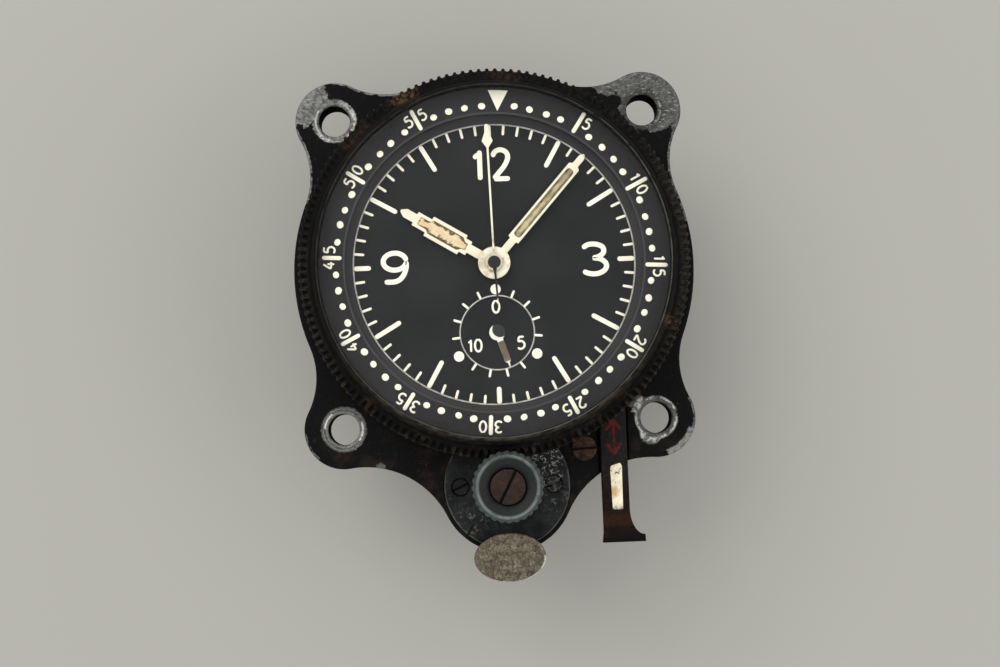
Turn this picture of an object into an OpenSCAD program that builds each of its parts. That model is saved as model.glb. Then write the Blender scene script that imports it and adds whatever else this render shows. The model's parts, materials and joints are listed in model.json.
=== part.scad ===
// Small panel clock with a winding knob, a setting lever, a stop pusher and a turning bezel.
// The dial faces +Z, twelve o'clock is +Y, and z = 0 is the back of the flange on the panel.

/* [Flange] */
// Thickness of the flange plate
flange_t = 4.5; // [4.3:0.1:6]
// Radius of the round part of the flange
flange_r = 31; // [30.5:0.1:31.8]
// Distance between neighbouring screw holes
hole_pitch = 48; // [47.5:0.1:50]
// Diameter of the panel screw holes
hole_d = 4.8; // [4:0.1:5.4]
// Radius of the four ears
ear_r = 6.1; // [5.5:0.1:6.8]
// Radius of the hollow curve that joins an ear to the round part
ear_fillet_r = 12; // [9:0.5:15]
// Radius of the bulge under the knob
bulge_r = 10.3; // [10.1:0.1:11]
// Radius of the hollow curve that joins an ear to the bulge
bulge_fillet_r = 14; // [11:0.5:17]

/* [Case] */
// Radius of the bore that takes the movement
bore_r = 24.5; // [24.2:0.1:24.9]
// Wall of the collar that carries the bezel
collar_wall = 2.1; // [1.8:0.1:2.4]
// Height of the collar above the flange
collar_h = 7; // [6.9:0.1:7.1]
// Width of the ledge between the main plate and the dial
ledge_w = 2; // [1.8:0.1:2.2]
// Length of the spigot behind the flange
spigot_h = 5; // [4.5:0.1:6]
// Wall of the spigot
spigot_wall = 1; // [0.9:0.1:1.2]
// Wall of the rear case
case_wall = 1.5; // [1.4:0.1:1.8]
// Depth of the rear case behind the flange
case_depth = 24; // [22:0.5:30]
// Thickness of the gasket behind the flange
gasket_t = 0.4; // [0.3:0.1:0.6]

/* [Bezel] */
// Wall of the bezel, from the collar to the tips of the knurl
bezel_wall = 2.8; // [2.7:0.1:3]
// Gap between the flange and the bezel
bezel_gap = 1.3; // [1.3:0.1:1.5]
// Number of grooves in the knurl
knurl_count = 150; // [120:2:160]
// Depth of the knurl grooves
knurl_depth = 1.5; // [1.2:0.1:1.6]
// Height of the knurled band
knurl_h = 7.2; // [6.8:0.1:7.3]
// Step from the root of the knurl to the smooth bevel above it
bevel_step = 0.4; // [0.3:0.1:0.6]
// Width of the bezel's top edge
rim_w = 0.4; // [0.3:0.1:0.6]
// Overlap of the lip over the edge of the glass
lip_overlap = 0.5; // [0.4:0.1:0.8]
// Thickness of the lip over the glass
lip_t = 0.6; // [0.5:0.1:0.8]
// Thickness of the glass
glass_t = 2; // [1.8:0.1:2.2]
// Thickness of the seal between the glass and the lip
seal_t = 0.2; // [0.2:0.05:0.3]
// Width of the minute ring under the glass
minute_ring_w = 4.3; // [3.8:0.1:4.6]
// Thickness of the minute ring
minute_ring_t = 0.5; // [0.4:0.1:0.6]
// Thickness of the ring that holds the glass
holding_ring_t = 0.8; // [0.6:0.1:0.9]
// Width of the ring that holds the glass
holding_ring_w = 1.1; // [0.9:0.1:1.3]
// Gap between the collar and the ring that holds the glass
collar_gap = 0.3; // [0.3:0.05:0.5]
// Width and height of the spring ring that keeps the bezel on the collar
spring_ring_w = 0.9; // [0.7:0.1:0.9]

/* [Dial and hands] */
// Thickness of the dial
dial_t = 0.8; // [0.6:0.1:0.9]
// Distance of the counter hand from the middle of the dial
counter_offset = 10.45; // [10.3:0.05:10.6]
// Reach of the hour hand
hour_reach = 16.2; // [15:0.1:17]
// Width of the hour hand
hour_w = 3.3; // [3:0.1:3.6]
// Reach of the minute hand
minute_reach = 21.3; // [20:0.1:21.6]
// Width of the minute hand
minute_w = 1.9; // [1.7:0.1:2.1]
// Reach of the sweep hand
sweep_reach = 21; // [20:0.1:21.6]
// Reach of the counter hand
counter_reach = 5.5; // [5:0.1:5.8]
// Thickness of a hand
hand_t = 0.2; // [0.15:0.05:0.25]
// Height between one hand and the next
hand_step = 0.5; // [0.45:0.05:0.55]
// Clock angle of the hour hand
hour_angle = 301.7; // [0:0.1:360]
// Clock angle of the minute hand
minute_angle = 41.8; // [0:0.1:360]
// Clock angle of the sweep hand
sweep_angle = 358.9; // [0:0.1:360]
// Clock angle of the counter hand
counter_angle = 161.4; // [0:0.1:360]

/* [Winding] */
// Distance of the knob to the right of the middle
knob_x = 0.7; // [0:0.1:1]
// Radius of the knob over its ribs
knob_r = 5.35; // [5:0.05:5.5]
// Number of ribs on the knob
knob_ribs = 28; // [20:1:36]
// Height of the knob's ribbed head
knob_head_h = 2; // [1.8:0.1:2.6]
// Radius of the knob's neck
knob_neck_r = 3.2; // [2.9:0.1:3.6]
// Radius of the knob screw's head
knob_screw_r = 2.6; // [2.4:0.1:2.8]
// Radius of the winding shaft
shaft_r = 2; // [1.8:0.1:2.2]
// Radius of the cover plate under the knob
cover_r = 9.6; // [9.3:0.1:9.8]
// Thickness of the cover plate
cover_t = 1; // [0.8:0.1:1]
// Distance of the cover screws from the knob
cover_screw_x = 7.1; // [6.9:0.1:7.4]
// Tooth module of the winding wheels
winding_module = 0.5; // [0.49:0.005:0.51]

/* [Lever and pusher] */
// Distance of the setting lever to the right of the middle
lever_x = 17.2; // [16.8:0.1:17.4]
// Width of the setting lever
lever_w = 4.1; // [3.7:0.1:4.4]
// Thickness of the setting lever
lever_t = 1.5; // [1.3:0.1:1.6]
// Distance of the lever's lower end from the middle
lever_reach = 42.7; // [41:0.1:45]
// How far the lever's end flares to the right
lever_flare = 2.2; // [1.5:0.1:3]
// Travel of the setting lever
lever_travel = 3.5; // [2:0.1:4]
// Radius of the guide screw's head
guide_screw_r = 1.9; // [1.7:0.1:2]
// Radius of the pusher's disc
pusher_r = 5.45; // [5:0.05:5.8]
// Thickness of the pusher's disc
pusher_t = 1.2; // [1:0.1:1.4]
// Radius of the pusher's stem
pusher_stem_r = 1.4; // [1.2:0.1:1.5]
// Travel of the pusher
pusher_travel = 1.4; // [1:0.1:1.5]
// Tilt of the pusher from the dial's axis
pusher_tilt = 45; // [44:0.5:46]

/* [Movement] */
// Thickness of the main plate
main_plate_t = 2; // [1.8:0.1:2.2]
// Distance between the main plate and the rear plate
plate_gap = 13.2; // [13:0.1:14]
// Thickness of the rear plate
rear_plate_t = 1.6; // [1.4:0.1:2]
// Gap round the rear plate
rear_plate_gap = 1.9; // [1.5:0.1:2.2]
// Radius of the pillars
pillar_r = 1.5; // [1.3:0.1:1.7]
// Height of the spring barrel
barrel_h = 7; // [6.5:0.1:7.2]
// Thickness of a train wheel
wheel_t = 0.6; // [0.5:0.05:0.7]
// Radius of a train arbor
arbor_r = 0.5; // [0.45:0.05:0.6]
// Radius of the balance
balance_r = 6; // [5.6:0.1:6.2]
// Radius of the escape wheel
escape_r = 2.9; // [2.7:0.1:3]

/* [Fits] */
// Clearance of a running or sliding fit on the radius
fit = 0.06; // [0.05:0.01:0.08]
// Gap between pieces that pass each other
gap = 0.3; // [0.2:0.05:0.3]

/* [Hidden] */
$fn = 96;
eps = 0.01;

// Tooth counts of the wheels, from the knob to the ratchet and from the barrel to the escape wheel
winding_pinion_n = 16;
winding_wheel_n = 24;
ratchet_n = 30;
barrel_n = 68;
centre_pinion_n = 12;
centre_n = 75;
third_pinion_n = 10;
third_n = 80;
fourth_pinion_n = 10;
fourth_n = 80;
escape_pinion_n = 8;
escape_n = 15;
cannon_n = 14;
minute_wheel_n = 42;
minute_pinion_n = 12;
hour_wheel_n = 48;
sweep_pinion_n = 12;
carrier_n = 60;
carrier_pinion_n = 16;
counter_n = 48;

// Tooth modules of the wheels
barrel_module = 0.25;
centre_module = 0.2;
third_module = 0.17;
fourth_module = 0.15;
cannon_module = 0.22;
carrier_module = 0.28;
counter_module = 0.3;
minute_distance = cannon_module * (cannon_n + minute_wheel_n) / 2;
hour_module = 2 * minute_distance / (minute_pinion_n + hour_wheel_n);

// Shape of a tooth, as shares of its module and of its pitch
tooth_tip = 0.75;
tooth_root = 1.05;
tooth_share = 0.42;

function pitch_r(n, m) = n * m / 2;
function tip_r(n, m) = pitch_r(n, m) + tooth_tip * m;
function polar(r, a) = [r * cos(a), r * sin(a)];
function angle_of(v) = atan2(v[1], v[0]);
// Point at distance ra from a and rb from b, on the left of the way from a to b when side is 1
function meet(a, ra, b, rb, side) =
    let (d = norm(b - a), u = (b - a) / d, s = (ra * ra - rb * rb + d * d) / (2 * d))
    a + s * u + side * sqrt(ra * ra - s * s) * [-u[1], u[0]];
// Turn of a wheel that puts its gap on the tooth of the wheel that it meshes with
function mesh_turn(n, turn, from, to, n2) =
    let (way = angle_of(to - from))
    way + 180 - 360 / n2 * (0.5 + (turn - way) * n / 360);

// Gap on the radius where one piece drops into another
seat_gap = 0.1;
// Height of the ledge between the main plate and the dial
ledge_t = 2.6;

// Heights, from the flange's back at zero
bezel_z = flange_t + bezel_gap;
collar_top = flange_t + collar_h;
holding_z = collar_top + collar_gap;
minute_ring_z = holding_z + holding_ring_t;
glass_z = minute_ring_z + minute_ring_t;
seal_z = glass_z + glass_t;
lip_z = seal_z + seal_t;
bezel_top = lip_z + lip_t;
knurl_top = bezel_z + knurl_h;
collar_r = bore_r + collar_wall;
ledge_r = bore_r - ledge_w;
bezel_r = collar_r + bezel_wall;
bevel_r = bezel_r - knurl_depth - bevel_step;
bezel_bore_r = collar_r + seat_gap;
lip_r = bezel_bore_r - lip_overlap;
groove_z = bezel_z + 2;
glass_r = bezel_bore_r - fit;
minute_ring_r = glass_r - minute_ring_w;
dial_seat = collar_top - 1.9;
dial_top = dial_seat + dial_t;
dial_r = bore_r - seat_gap;
plate_top = dial_seat - ledge_t;
plate_z = plate_top - main_plate_t;
rear_plate_top = plate_z - plate_gap;
rear_plate_z = rear_plate_top - rear_plate_t;
rear_plate_r = bore_r - rear_plate_gap;
spigot_r = bore_r + spigot_wall;
case_bore_r = spigot_r + seat_gap;
case_r = case_bore_r + case_wall;
case_z = -case_depth;

// Levels of the hands, counted from the dial
counter_z = dial_top + hand_t;
hour_z = counter_z + hand_step;
minute_z = hour_z + hand_step;
sweep_z = minute_z + hand_step;

// Levels of the wheels under the dial
cannon_level = plate_top + 0.2;
hour_level = cannon_level + wheel_t + 0.5;

// Levels of the wheels between the plates
ratchet_t = 1.6;
ratchet_z = plate_z - 0.8 - ratchet_t;
barrel_z = ratchet_z - 1.4 - barrel_h;
great_t = 1;
centre_z = barrel_z - 0.4 - wheel_t;
third_z = centre_z + 3;
fourth_z = third_z + 2.6;
escape_z = fourth_z + 2.2;
balance_z = escape_z - 3.2;
hairspring_z = balance_z - 2.6;

// Levels behind the rear plate
carrier_z = rear_plate_z - 1.6 - wheel_t;
heart_z = carrier_z - 1.4;
bridge_t = 1.2;
bridge_z = heart_z - 1 - bridge_t;

// Places of the axes
middle = [0, 0];
barrel_at = [0, -barrel_module * (barrel_n + centre_pinion_n) / 2];
winding_reach = winding_module * (ratchet_n / 2 + winding_wheel_n + winding_pinion_n / 2);
knob_at = [knob_x, barrel_at[1] - sqrt(winding_reach * winding_reach - knob_x * knob_x)];
winding_way = (knob_at - barrel_at) / winding_reach;
winding_wheel_at = barrel_at + winding_way * winding_module * (ratchet_n + winding_wheel_n) / 2;
third_at = polar(centre_module * (centre_n + third_pinion_n) / 2, 50);
fourth_at = third_at + polar(third_module * (third_n + fourth_pinion_n) / 2, 160);
escape_at = fourth_at + polar(fourth_module * (fourth_n + escape_pinion_n) / 2, 200);
balance_at = [-14, -1];
pallet_at = meet(escape_at, escape_r + 1.4, balance_at, balance_r + 1, 1);
minute_wheel_at = polar(minute_distance, 120);
counter_at = [0.05, -counter_offset];
carrier_at = meet(middle, carrier_module * (sweep_pinion_n + carrier_n) / 2,
    counter_at, counter_module * (carrier_pinion_n + counter_n) / 2, 1);
click_at = barrel_at + polar(tip_r(ratchet_n, winding_module) + 2.2, 160);

// Turns that bring the wheels into mesh
winding_wheel_turn = mesh_turn(winding_pinion_n, 0, knob_at, winding_wheel_at, winding_wheel_n);
ratchet_turn = mesh_turn(winding_wheel_n, winding_wheel_turn, winding_wheel_at, barrel_at, ratchet_n);
centre_turn = mesh_turn(barrel_n, 0, barrel_at, middle, centre_pinion_n);
third_turn = mesh_turn(centre_n, centre_turn, middle, third_at, third_pinion_n);
fourth_turn = mesh_turn(third_n, third_turn, third_at, fourth_at, fourth_pinion_n);
escape_turn = mesh_turn(fourth_n, fourth_turn, fourth_at, escape_at, escape_pinion_n);
minute_wheel_turn = mesh_turn(cannon_n, 0, middle, minute_wheel_at, minute_wheel_n);
hour_turn = mesh_turn(minute_pinion_n, minute_wheel_turn, minute_wheel_at, middle, hour_wheel_n);
carrier_turn = mesh_turn(sweep_pinion_n, 0, middle, carrier_at, carrier_n);
counter_turn = mesh_turn(carrier_pinion_n, carrier_turn, carrier_at, counter_at, counter_n);

// Arbors, pipes and pivots
sweep_arbor_r = 0.4;
centre_arbor_r = 0.9;
cannon_r = 1.25;
hour_pipe_r = 1.65;
pivot_r = 0.3;
pivot_l = 0.7;
barrel_arbor_r = 1.2;
barrel_pivot_r = 0.9;
barrel_square = 1.6;
drum_r = pitch_r(barrel_n, barrel_module) - 0.7;
drum_wall = 0.6;
hairspring_eye = 1;
hairspring_r = 4;
hairspring_t = 0.12;
hairspring_w = 0.4;
stud_r = 0.45;
shaft_pivot_r = shaft_r - 0.6;
shaft_pivot_z = 0.7;

// Hubs of the hands
hub_r = 2.45;
sweep_hub_r = 1.5;
sweep_cap_r = 0.95;
sweep_cap_h = 0.5;
sweep_tail = 6.9;
counter_hub_r = 1.2;
window_start = 4.8;
window_rim = 0.55;
minute_rim = 0.35;
minute_window_end = 3;

// Screws, studs and feet
hole_at = hole_pitch / 2;
slot_w = 0.3;
cover_screw_r = 1.25;
small_thread_r = 0.7;
small_thread_l = 2.4;
small_thread_z = 1.5;
guide_screw_at = [12.7, -28.3];
guide_head_h = 0.9;
movement_screw_at = (ledge_r + bore_r) / 2;
movement_screw_angles = [40, 150, 205, 330];
movement_thread_r = 0.5;
movement_head_r = 1;
movement_head_h = 0.6;
dial_foot_angles = [80, 200, 320];
dial_foot_r = 0.5;
dial_foot_l = 1.2;
case_screw_angles = [30, 150, 215, 325];
case_screw_z = -spigot_h / 2 - gasket_t;
case_screw_r = 1.2;
case_head_h = 0.8;
case_screw_l = 1.4;
pillar_at = rear_plate_r - pillar_r - 0.7;
pillar_angles = [10, 85, 205, 300];
tenon_r = 0.8;
tenon_l = 1.2;
plate_thread_r = 0.6;
plate_thread_l = 2.4;
plate_head_r = 1.2;
plate_head_h = 0.8;
click_stud_r = 0.5;
winding_stud_l = 1.2;
winding_head_r = 1.4;
winding_head_h = 0.6;
bridge_thread_r = 0.5;
bridge_thread_l = 1.2;
bridge_head_r = 1.1;
bridge_head_h = 0.7;
bridge_post_r = 1.5;
bridge_boss_r = 1.8;
bridge_w = 2.4;
carrier_way = carrier_at / norm(carrier_at);
bridge_reach = 10;
bridge_ends = [-bridge_reach * carrier_way,
    carrier_at + (tip_r(carrier_n, carrier_module) + bridge_post_r + 0.5) * carrier_way];
heart_r = 1;
heart_rise = 2.2;

// The pusher's axis leaves the lower edge of the bulge
pusher_face = [knob_at[0], knob_at[1] - bulge_r - 0.85, flange_t + 2];
pusher_stem_l = 5.6;
pusher_rim_gap = 0.5;
pusher_rim = 0.5;
bush_r = 2.2;
bush_top = -pusher_t - pusher_travel - gap;
bush_l = 3.2;

// The lever runs in a channel of the flange, and its tongue goes on under the collar into the bore
channel_depth = 0.8;
channel_gap = 0.15;
channel_z = flange_t - channel_depth;
lever_z = channel_z + 0.2;
tongue_t = flange_t - lever_z - channel_gap;
tongue_end = lever_travel - sqrt(pow(bore_r, 2) - pow(lever_x, 2));
lever_top = -sqrt(pow(collar_r + gap, 2) - pow(lever_x - lever_w / 2, 2));
lever_lip_w = 0.9;
lever_lip_h = 0.7;
lever_lume_w = 1.8;
lever_lume_l = 7.1;
lever_lume_t = 0.3;
lever_lume_top = -30.7;

// The knob stands on the cover plate and its head clears the bezel
knob_base = flange_t + cover_t + gap;
knob_head_z = knurl_top + 0.4;
knob_top = knob_head_z + knob_head_h;
knob_dish = 0.9;
knob_rim = 1;
knob_rib = 0.2;
knob_taper = 0.55;
knob_head_screw_h = 0.7;
knob_thread_r = 1;
knob_thread_l = 3;
shaft_top = knob_head_z - 0.8;

module tube(r, bore, h) {
    difference() {
        cylinder(r = r, h = h);
        translate([0, 0, -eps]) cylinder(r = bore, h = h + 2 * eps);
    }
}

module gear_outline(n, m) {
    pitch_a = 360 / n;
    half_a = pitch_a * tooth_share / 2;
    root = pitch_r(n, m) - tooth_root * m;
    tip = tip_r(n, m);
    polygon([for (i = [0 : n - 1]) for (p = [[root, -1.35], [tip, -0.5], [tip, 0.5], [root, 1.35]])
        polar(p[0], i * pitch_a + p[1] * half_a)]);
}

module gear(n, m, h) {
    linear_extrude(h) gear_outline(n, m);
}

// A thin wheel with round openings between its hub and its rim
module train_wheel(n, m, h, hub) {
    rim = pitch_r(n, m) - 2.2 * m;
    hole = (rim - hub) / 2 * 0.8;
    difference() {
        gear(n, m, h);
        for (i = [0 : 4]) rotate(i * 72) translate([(rim + hub) / 2, 0, -eps])
            cylinder(r = min(hole, (rim + hub) / 2 * 0.5), h = h + 2 * eps);
    }
}

// An arbor with a pivot at each end, from z0 to z1 between two plates
module arbor(r, z0, z1) {
    translate([0, 0, z0 + 0.1]) cylinder(r = r, h = z1 - z0 - 0.2);
    translate([0, 0, z0 - pivot_l]) cylinder(r = pivot_r, h = z1 - z0 + 2 * pivot_l);
}

// A slotted screw with its head from z = 0 up and its shank below
module slotted_screw(head_r, head_h, shank_r, shank_l, slot, turn) {
    difference() {
        cylinder(r = head_r, h = head_h);
        rotate(turn) translate([-head_r - 1, -slot / 2, head_h / 2]) cube([2 * head_r + 2, slot, head_h]);
    }
    translate([0, 0, -shank_l]) cylinder(r = shank_r, h = shank_l + eps);
}

// The space between two circles, closed by a hollow curve of radius rf that touches both
module hollow_web(a, ra, b, rb, rf, side) {
    f = meet(a, ra + rf, b, rb + rf, side);
    difference() {
        polygon([a, b, f]);
        translate(f) circle(rf);
    }
}

module flange_outline() {
    circle(flange_r);
    translate(knob_at) circle(bulge_r);
    for (x = [-1, 1]) for (y = [-1, 1]) {
        ear = [x * hole_at, y * hole_at];
        translate(ear) circle(ear_r);
        for (side = [-1, 1]) hollow_web(middle, flange_r, ear, ear_r, ear_fillet_r, side);
    }
    for (x = [-1, 1])
        hollow_web([x * hole_at, -hole_at], ear_r, knob_at, bulge_r, bulge_fillet_r, x);
    polygon([middle, [-hole_at, -hole_at], knob_at, [hole_at, -hole_at]]);
}

// Runs a child along the pusher's axis, with the middle of the pusher's face at zero
module on_pusher() {
    translate(pusher_face) rotate([pusher_tilt, 0, 0]) children();
}

// Room for the pusher's disc over its whole travel, for its bush and for its stem
module pusher_room() {
    on_pusher() {
        translate([0, 0, bush_top]) cylinder(r = pusher_r + pusher_rim_gap, h = 20);
        translate([0, 0, bush_top - bush_l]) cylinder(r = bush_r, h = bush_l + 1);
        translate([0, 0, -pusher_stem_l - pusher_travel - gap]) cylinder(r = pusher_stem_r + 0.2, h = 12);
    }
}

// Room in the flange for the winding pinion and the winding wheel
module winding_room() {
    pinion_room = tip_r(winding_pinion_n, winding_module) + gap;
    wheel_room = tip_r(winding_wheel_n, winding_module) + gap;
    translate([0, 0, ratchet_z - gap]) linear_extrude(flange_t - ratchet_z + gap) {
        translate(knob_at) circle(pinion_room);
        translate(winding_wheel_at) circle(wheel_room);
    }
    translate([each winding_wheel_at, ratchet_z - 1.2]) cylinder(r = 2, h = 2);
}

module lever_room() {
    translate([lever_x - lever_w / 2 - channel_gap, -lever_reach, channel_z])
        cube([lever_w + 2 * channel_gap, lever_reach + tongue_end + 1, channel_depth]);
}

module collar_groove() {
    translate([0, 0, groove_z]) tube(collar_r + 1, collar_r - spring_ring_w / 2, spring_ring_w + seat_gap);
}

module flange_body() {
    color([0.08, 0.08, 0.08]) difference() {
        union() {
            linear_extrude(flange_t) flange_outline();
            cylinder(r = collar_r, h = collar_top);
            translate([0, 0, -spigot_h]) cylinder(r = spigot_r, h = spigot_h + eps);
        }
        translate([0, 0, -spigot_h - eps]) cylinder(r = bore_r, h = plate_top + spigot_h + eps);
        cylinder(r = ledge_r, h = collar_top);
        translate([0, 0, dial_seat]) cylinder(r = bore_r, h = collar_h);
        for (x = [-1, 1]) for (y = [-1, 1])
            translate([x * hole_at, y * hole_at, -eps]) cylinder(d = hole_d, h = flange_t + 2 * eps);
        winding_room();
        translate([each knob_at, shaft_pivot_z - seat_gap]) cylinder(r = shaft_pivot_r + fit, h = flange_t);
        lever_room();
        pusher_room();
        for (x = [-1, 1]) translate([knob_at[0] + x * cover_screw_x, knob_at[1], small_thread_z])
            cylinder(r = small_thread_r + fit, h = flange_t);
        translate([each guide_screw_at, small_thread_z]) cylinder(r = small_thread_r + fit, h = flange_t);
        for (a = movement_screw_angles) rotate(a) translate([movement_screw_at, 0, plate_top - eps])
            cylinder(r = movement_thread_r + fit, h = 2);
        for (a = dial_foot_angles) rotate(a) translate([movement_screw_at, 0, dial_seat - dial_foot_l - 0.2])
            cylinder(r = dial_foot_r + fit, h = 2);
        for (a = case_screw_angles) rotate(a) translate([0, 0, case_screw_z]) rotate([0, 90, 0])
            cylinder(r = small_thread_r + fit, h = spigot_r + 1);
        collar_groove();
    }
}

module rear_case() {
    color([0.1, 0.1, 0.1]) difference() {
        union() {
            translate([0, 0, case_z]) cylinder(r1 = case_r - 1, r2 = case_r, h = 1);
            translate([0, 0, case_z + 1]) cylinder(r = case_r, h = case_depth - gasket_t - 1);
        }
        translate([0, 0, case_z + case_wall]) cylinder(r = case_bore_r, h = case_depth);
        for (a = case_screw_angles) rotate(a) translate([0, 0, case_screw_z]) rotate([0, 90, 0]) {
            cylinder(r = small_thread_r + fit, h = case_r + 1);
            translate([0, 0, case_r - case_head_h - 0.1]) cylinder(r = case_screw_r + fit, h = 2);
        }
    }
}

module rear_case_gasket() {
    color([0.2, 0.16, 0.12]) translate([0, 0, -gasket_t]) tube(case_r, case_bore_r, gasket_t);
}

module rear_case_screws() {
    color([0.45, 0.42, 0.38]) for (a = case_screw_angles) rotate(a)
        translate([case_r - case_head_h - 0.1, 0, case_screw_z]) rotate([0, 90, 0])
            slotted_screw(case_screw_r, case_head_h, small_thread_r, case_screw_l, slot_w, 0);
}

module bezel() {
    root = bezel_r - knurl_depth;
    pitch_a = 360 / knurl_count;
    edge = 0.3;
    top_edge = 0.7;
    color([0.1, 0.09, 0.08]) difference() {
        union() {
            intersection() {
                translate([0, 0, bezel_z - 1]) linear_extrude(knurl_h + 2)
                    polygon([for (i = [0 : knurl_count - 1])
                        for (p = [[root, 0], [root, 0.42], [bezel_r, 0.56], [bezel_r, 0.86]])
                        polar(p[0], (i + p[1]) * pitch_a)]);
                rotate_extrude() polygon([[collar_r - 1, bezel_z], [bezel_r - edge, bezel_z],
                    [bezel_r + eps, bezel_z + edge], [bezel_r + eps, knurl_top - top_edge],
                    [root + edge, knurl_top], [collar_r - 1, knurl_top]]);
            }
            translate([0, 0, knurl_top - 1]) cylinder(r = bevel_r, h = 1);
            translate([0, 0, knurl_top])
                cylinder(r1 = bevel_r, r2 = lip_r + rim_w, h = bezel_top - knurl_top);
        }
        translate([0, 0, bezel_z - eps]) cylinder(r = bezel_bore_r, h = lip_z - bezel_z + eps);
        cylinder(r = lip_r, h = bezel_top + 1);
        translate([0, 0, groove_z - channel_gap])
            cylinder(r = collar_r + spring_ring_w / 2 + channel_gap, h = spring_ring_w + 2 * channel_gap);
    }
}

module bezel_spring_ring() {
    color([0.6, 0.58, 0.52]) translate([0, 0, groove_z]) difference() {
        tube(collar_r + spring_ring_w / 2, collar_r - spring_ring_w / 2, spring_ring_w);
        translate([-1.5, 0, -eps]) cube([3, collar_r + 2, spring_ring_w + 2 * eps]);
    }
}

module glass() {
    color([0.8, 0.85, 0.85, 0.3]) translate([0, 0, glass_z]) cylinder(r = glass_r, h = glass_t);
}

module glass_seal() {
    color([0.3, 0.25, 0.2]) translate([0, 0, seal_z]) tube(glass_r, lip_r, seal_t);
}

module minute_ring() {
    color([0.12, 0.12, 0.12]) translate([0, 0, minute_ring_z]) tube(glass_r, minute_ring_r, minute_ring_t);
}

module glass_holding_ring() {
    color([0.25, 0.24, 0.22]) translate([0, 0, holding_z]) difference() {
        tube(glass_r, glass_r - holding_ring_w, holding_ring_t);
        translate([-1, 0, -eps]) cube([2, glass_r + 1, holding_ring_t + 2 * eps]);
    }
}

module dial() {
    color([0.1, 0.1, 0.1]) difference() {
        union() {
            translate([0, 0, dial_seat]) cylinder(r = dial_r, h = dial_t);
            for (a = dial_foot_angles) rotate(a) translate([movement_screw_at, 0, dial_seat - dial_foot_l])
                cylinder(r = dial_foot_r, h = dial_foot_l + eps);
        }
        translate([0, 0, dial_seat - eps]) cylinder(r = hour_pipe_r + gap, h = dial_t + 2 * eps);
        translate([each counter_at, dial_seat - eps]) cylinder(r = arbor_r + gap, h = dial_t + 2 * eps);
    }
}

// A flat hand outline from half widths and radii, the same on both sides of +Y
module hand_outline(steps) {
    n = len(steps);
    polygon(concat(steps, [for (i = [n - 1 : -1 : 0]) [-steps[i][0], steps[i][1]]]));
}

function hour_window_steps() =
    let (half = hour_w / 2 - window_rim)
    [[window_rim, window_start], [window_rim, window_start + window_rim],
        [half, window_start + 2 * window_rim], [half, hour_reach - 5.2],
        [0.65, hour_reach - 4.8], [0.65, hour_reach - 3.2]];

function minute_window_steps() =
    let (half = minute_w / 2 - minute_rim)
    [[half, window_start + minute_rim], [half, minute_reach - minute_window_end]];

module hour_hand() {
    color([0.93, 0.9, 0.8]) translate([0, 0, hour_z]) rotate(-hour_angle)
        linear_extrude(hand_t) difference() {
            union() {
                circle(hub_r);
                hand_outline([[0.8, 0], [0.8, 4.4], [1.15, 4.4], [1.15, 5.5], [hour_w / 2, 5.5],
                    [hour_w / 2, hour_reach - 4.85], [1.13, hour_reach - 4.85], [1.13, hour_reach - 2.5],
                    [0.7, hour_reach - 2.5], [0.7, hour_reach - 0.8], [0.15, hour_reach]]);
            }
            hand_outline(hour_window_steps());
            circle(hour_pipe_r);
        }
}

module hour_hand_lume() {
    color([0.9, 0.8, 0.62]) translate([0, 0, hour_z]) rotate(-hour_angle)
        linear_extrude(hand_t) hand_outline(hour_window_steps());
}

module minute_hand() {
    color([0.93, 0.9, 0.8]) translate([0, 0, minute_z]) rotate(-minute_angle)
        linear_extrude(hand_t) difference() {
            union() {
                circle(hub_r);
                hand_outline([[0.75, 0], [0.75, 4.35], [minute_w / 2, 4.35],
                    [minute_w / 2, minute_reach - 2.4], [0.5, minute_reach - 2.1],
                    [0.5, minute_reach - 0.6], [0.12, minute_reach]]);
            }
            hand_outline(minute_window_steps());
            circle(cannon_r);
        }
}

module minute_hand_lume() {
    color([0.45, 0.42, 0.32]) translate([0, 0, minute_z]) rotate(-minute_angle)
        linear_extrude(hand_t) hand_outline(minute_window_steps());
}

module sweep_hand() {
    color([0.93, 0.9, 0.8]) translate([0, 0, sweep_z]) rotate(-sweep_angle) difference() {
        union() {
            linear_extrude(hand_t) {
                circle(sweep_hub_r);
                hand_outline([[0.2, -sweep_tail], [0.2, sweep_reach - 3.6], [0.85, sweep_reach - 2.6],
                    [0.35, sweep_reach - 1.3], [0.35, sweep_reach - 0.3], [0.2, sweep_reach]]);
            }
            cylinder(r = sweep_cap_r, h = sweep_cap_h);
        }
        translate([0, 0, -eps]) cylinder(r = sweep_arbor_r, h = sweep_cap_h - hand_t);
    }
}

module counter_hand() {
    color([0.75, 0.7, 0.55]) translate([each counter_at, counter_z]) rotate(-counter_angle)
        linear_extrude(hand_t) difference() {
            union() {
                circle(counter_hub_r);
                hand_outline([[0.25, -2.2], [0.35, 0], [0.5, 1.6], [0.5, counter_reach - 0.9],
                    [0.15, counter_reach - 0.6], [0.1, counter_reach]]);
            }
            circle(arbor_r);
        }
}

module cover_plate() {
    color([0.1, 0.1, 0.1]) difference() {
        translate([each knob_at, flange_t]) cylinder(r = cover_r, h = cover_t);
        cylinder(r = collar_r + gap, h = bezel_z);
        translate([each knob_at, 0]) cylinder(r = shaft_r + fit, h = bezel_z);
        for (x = [-1, 1]) translate([knob_at[0] + x * cover_screw_x, knob_at[1], 0]) {
            cylinder(r = small_thread_r + fit, h = bezel_z);
            translate([0, 0, flange_t + cover_t / 2]) cylinder(r = cover_screw_r + fit, h = 2);
        }
        pusher_room();
    }
}

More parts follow.
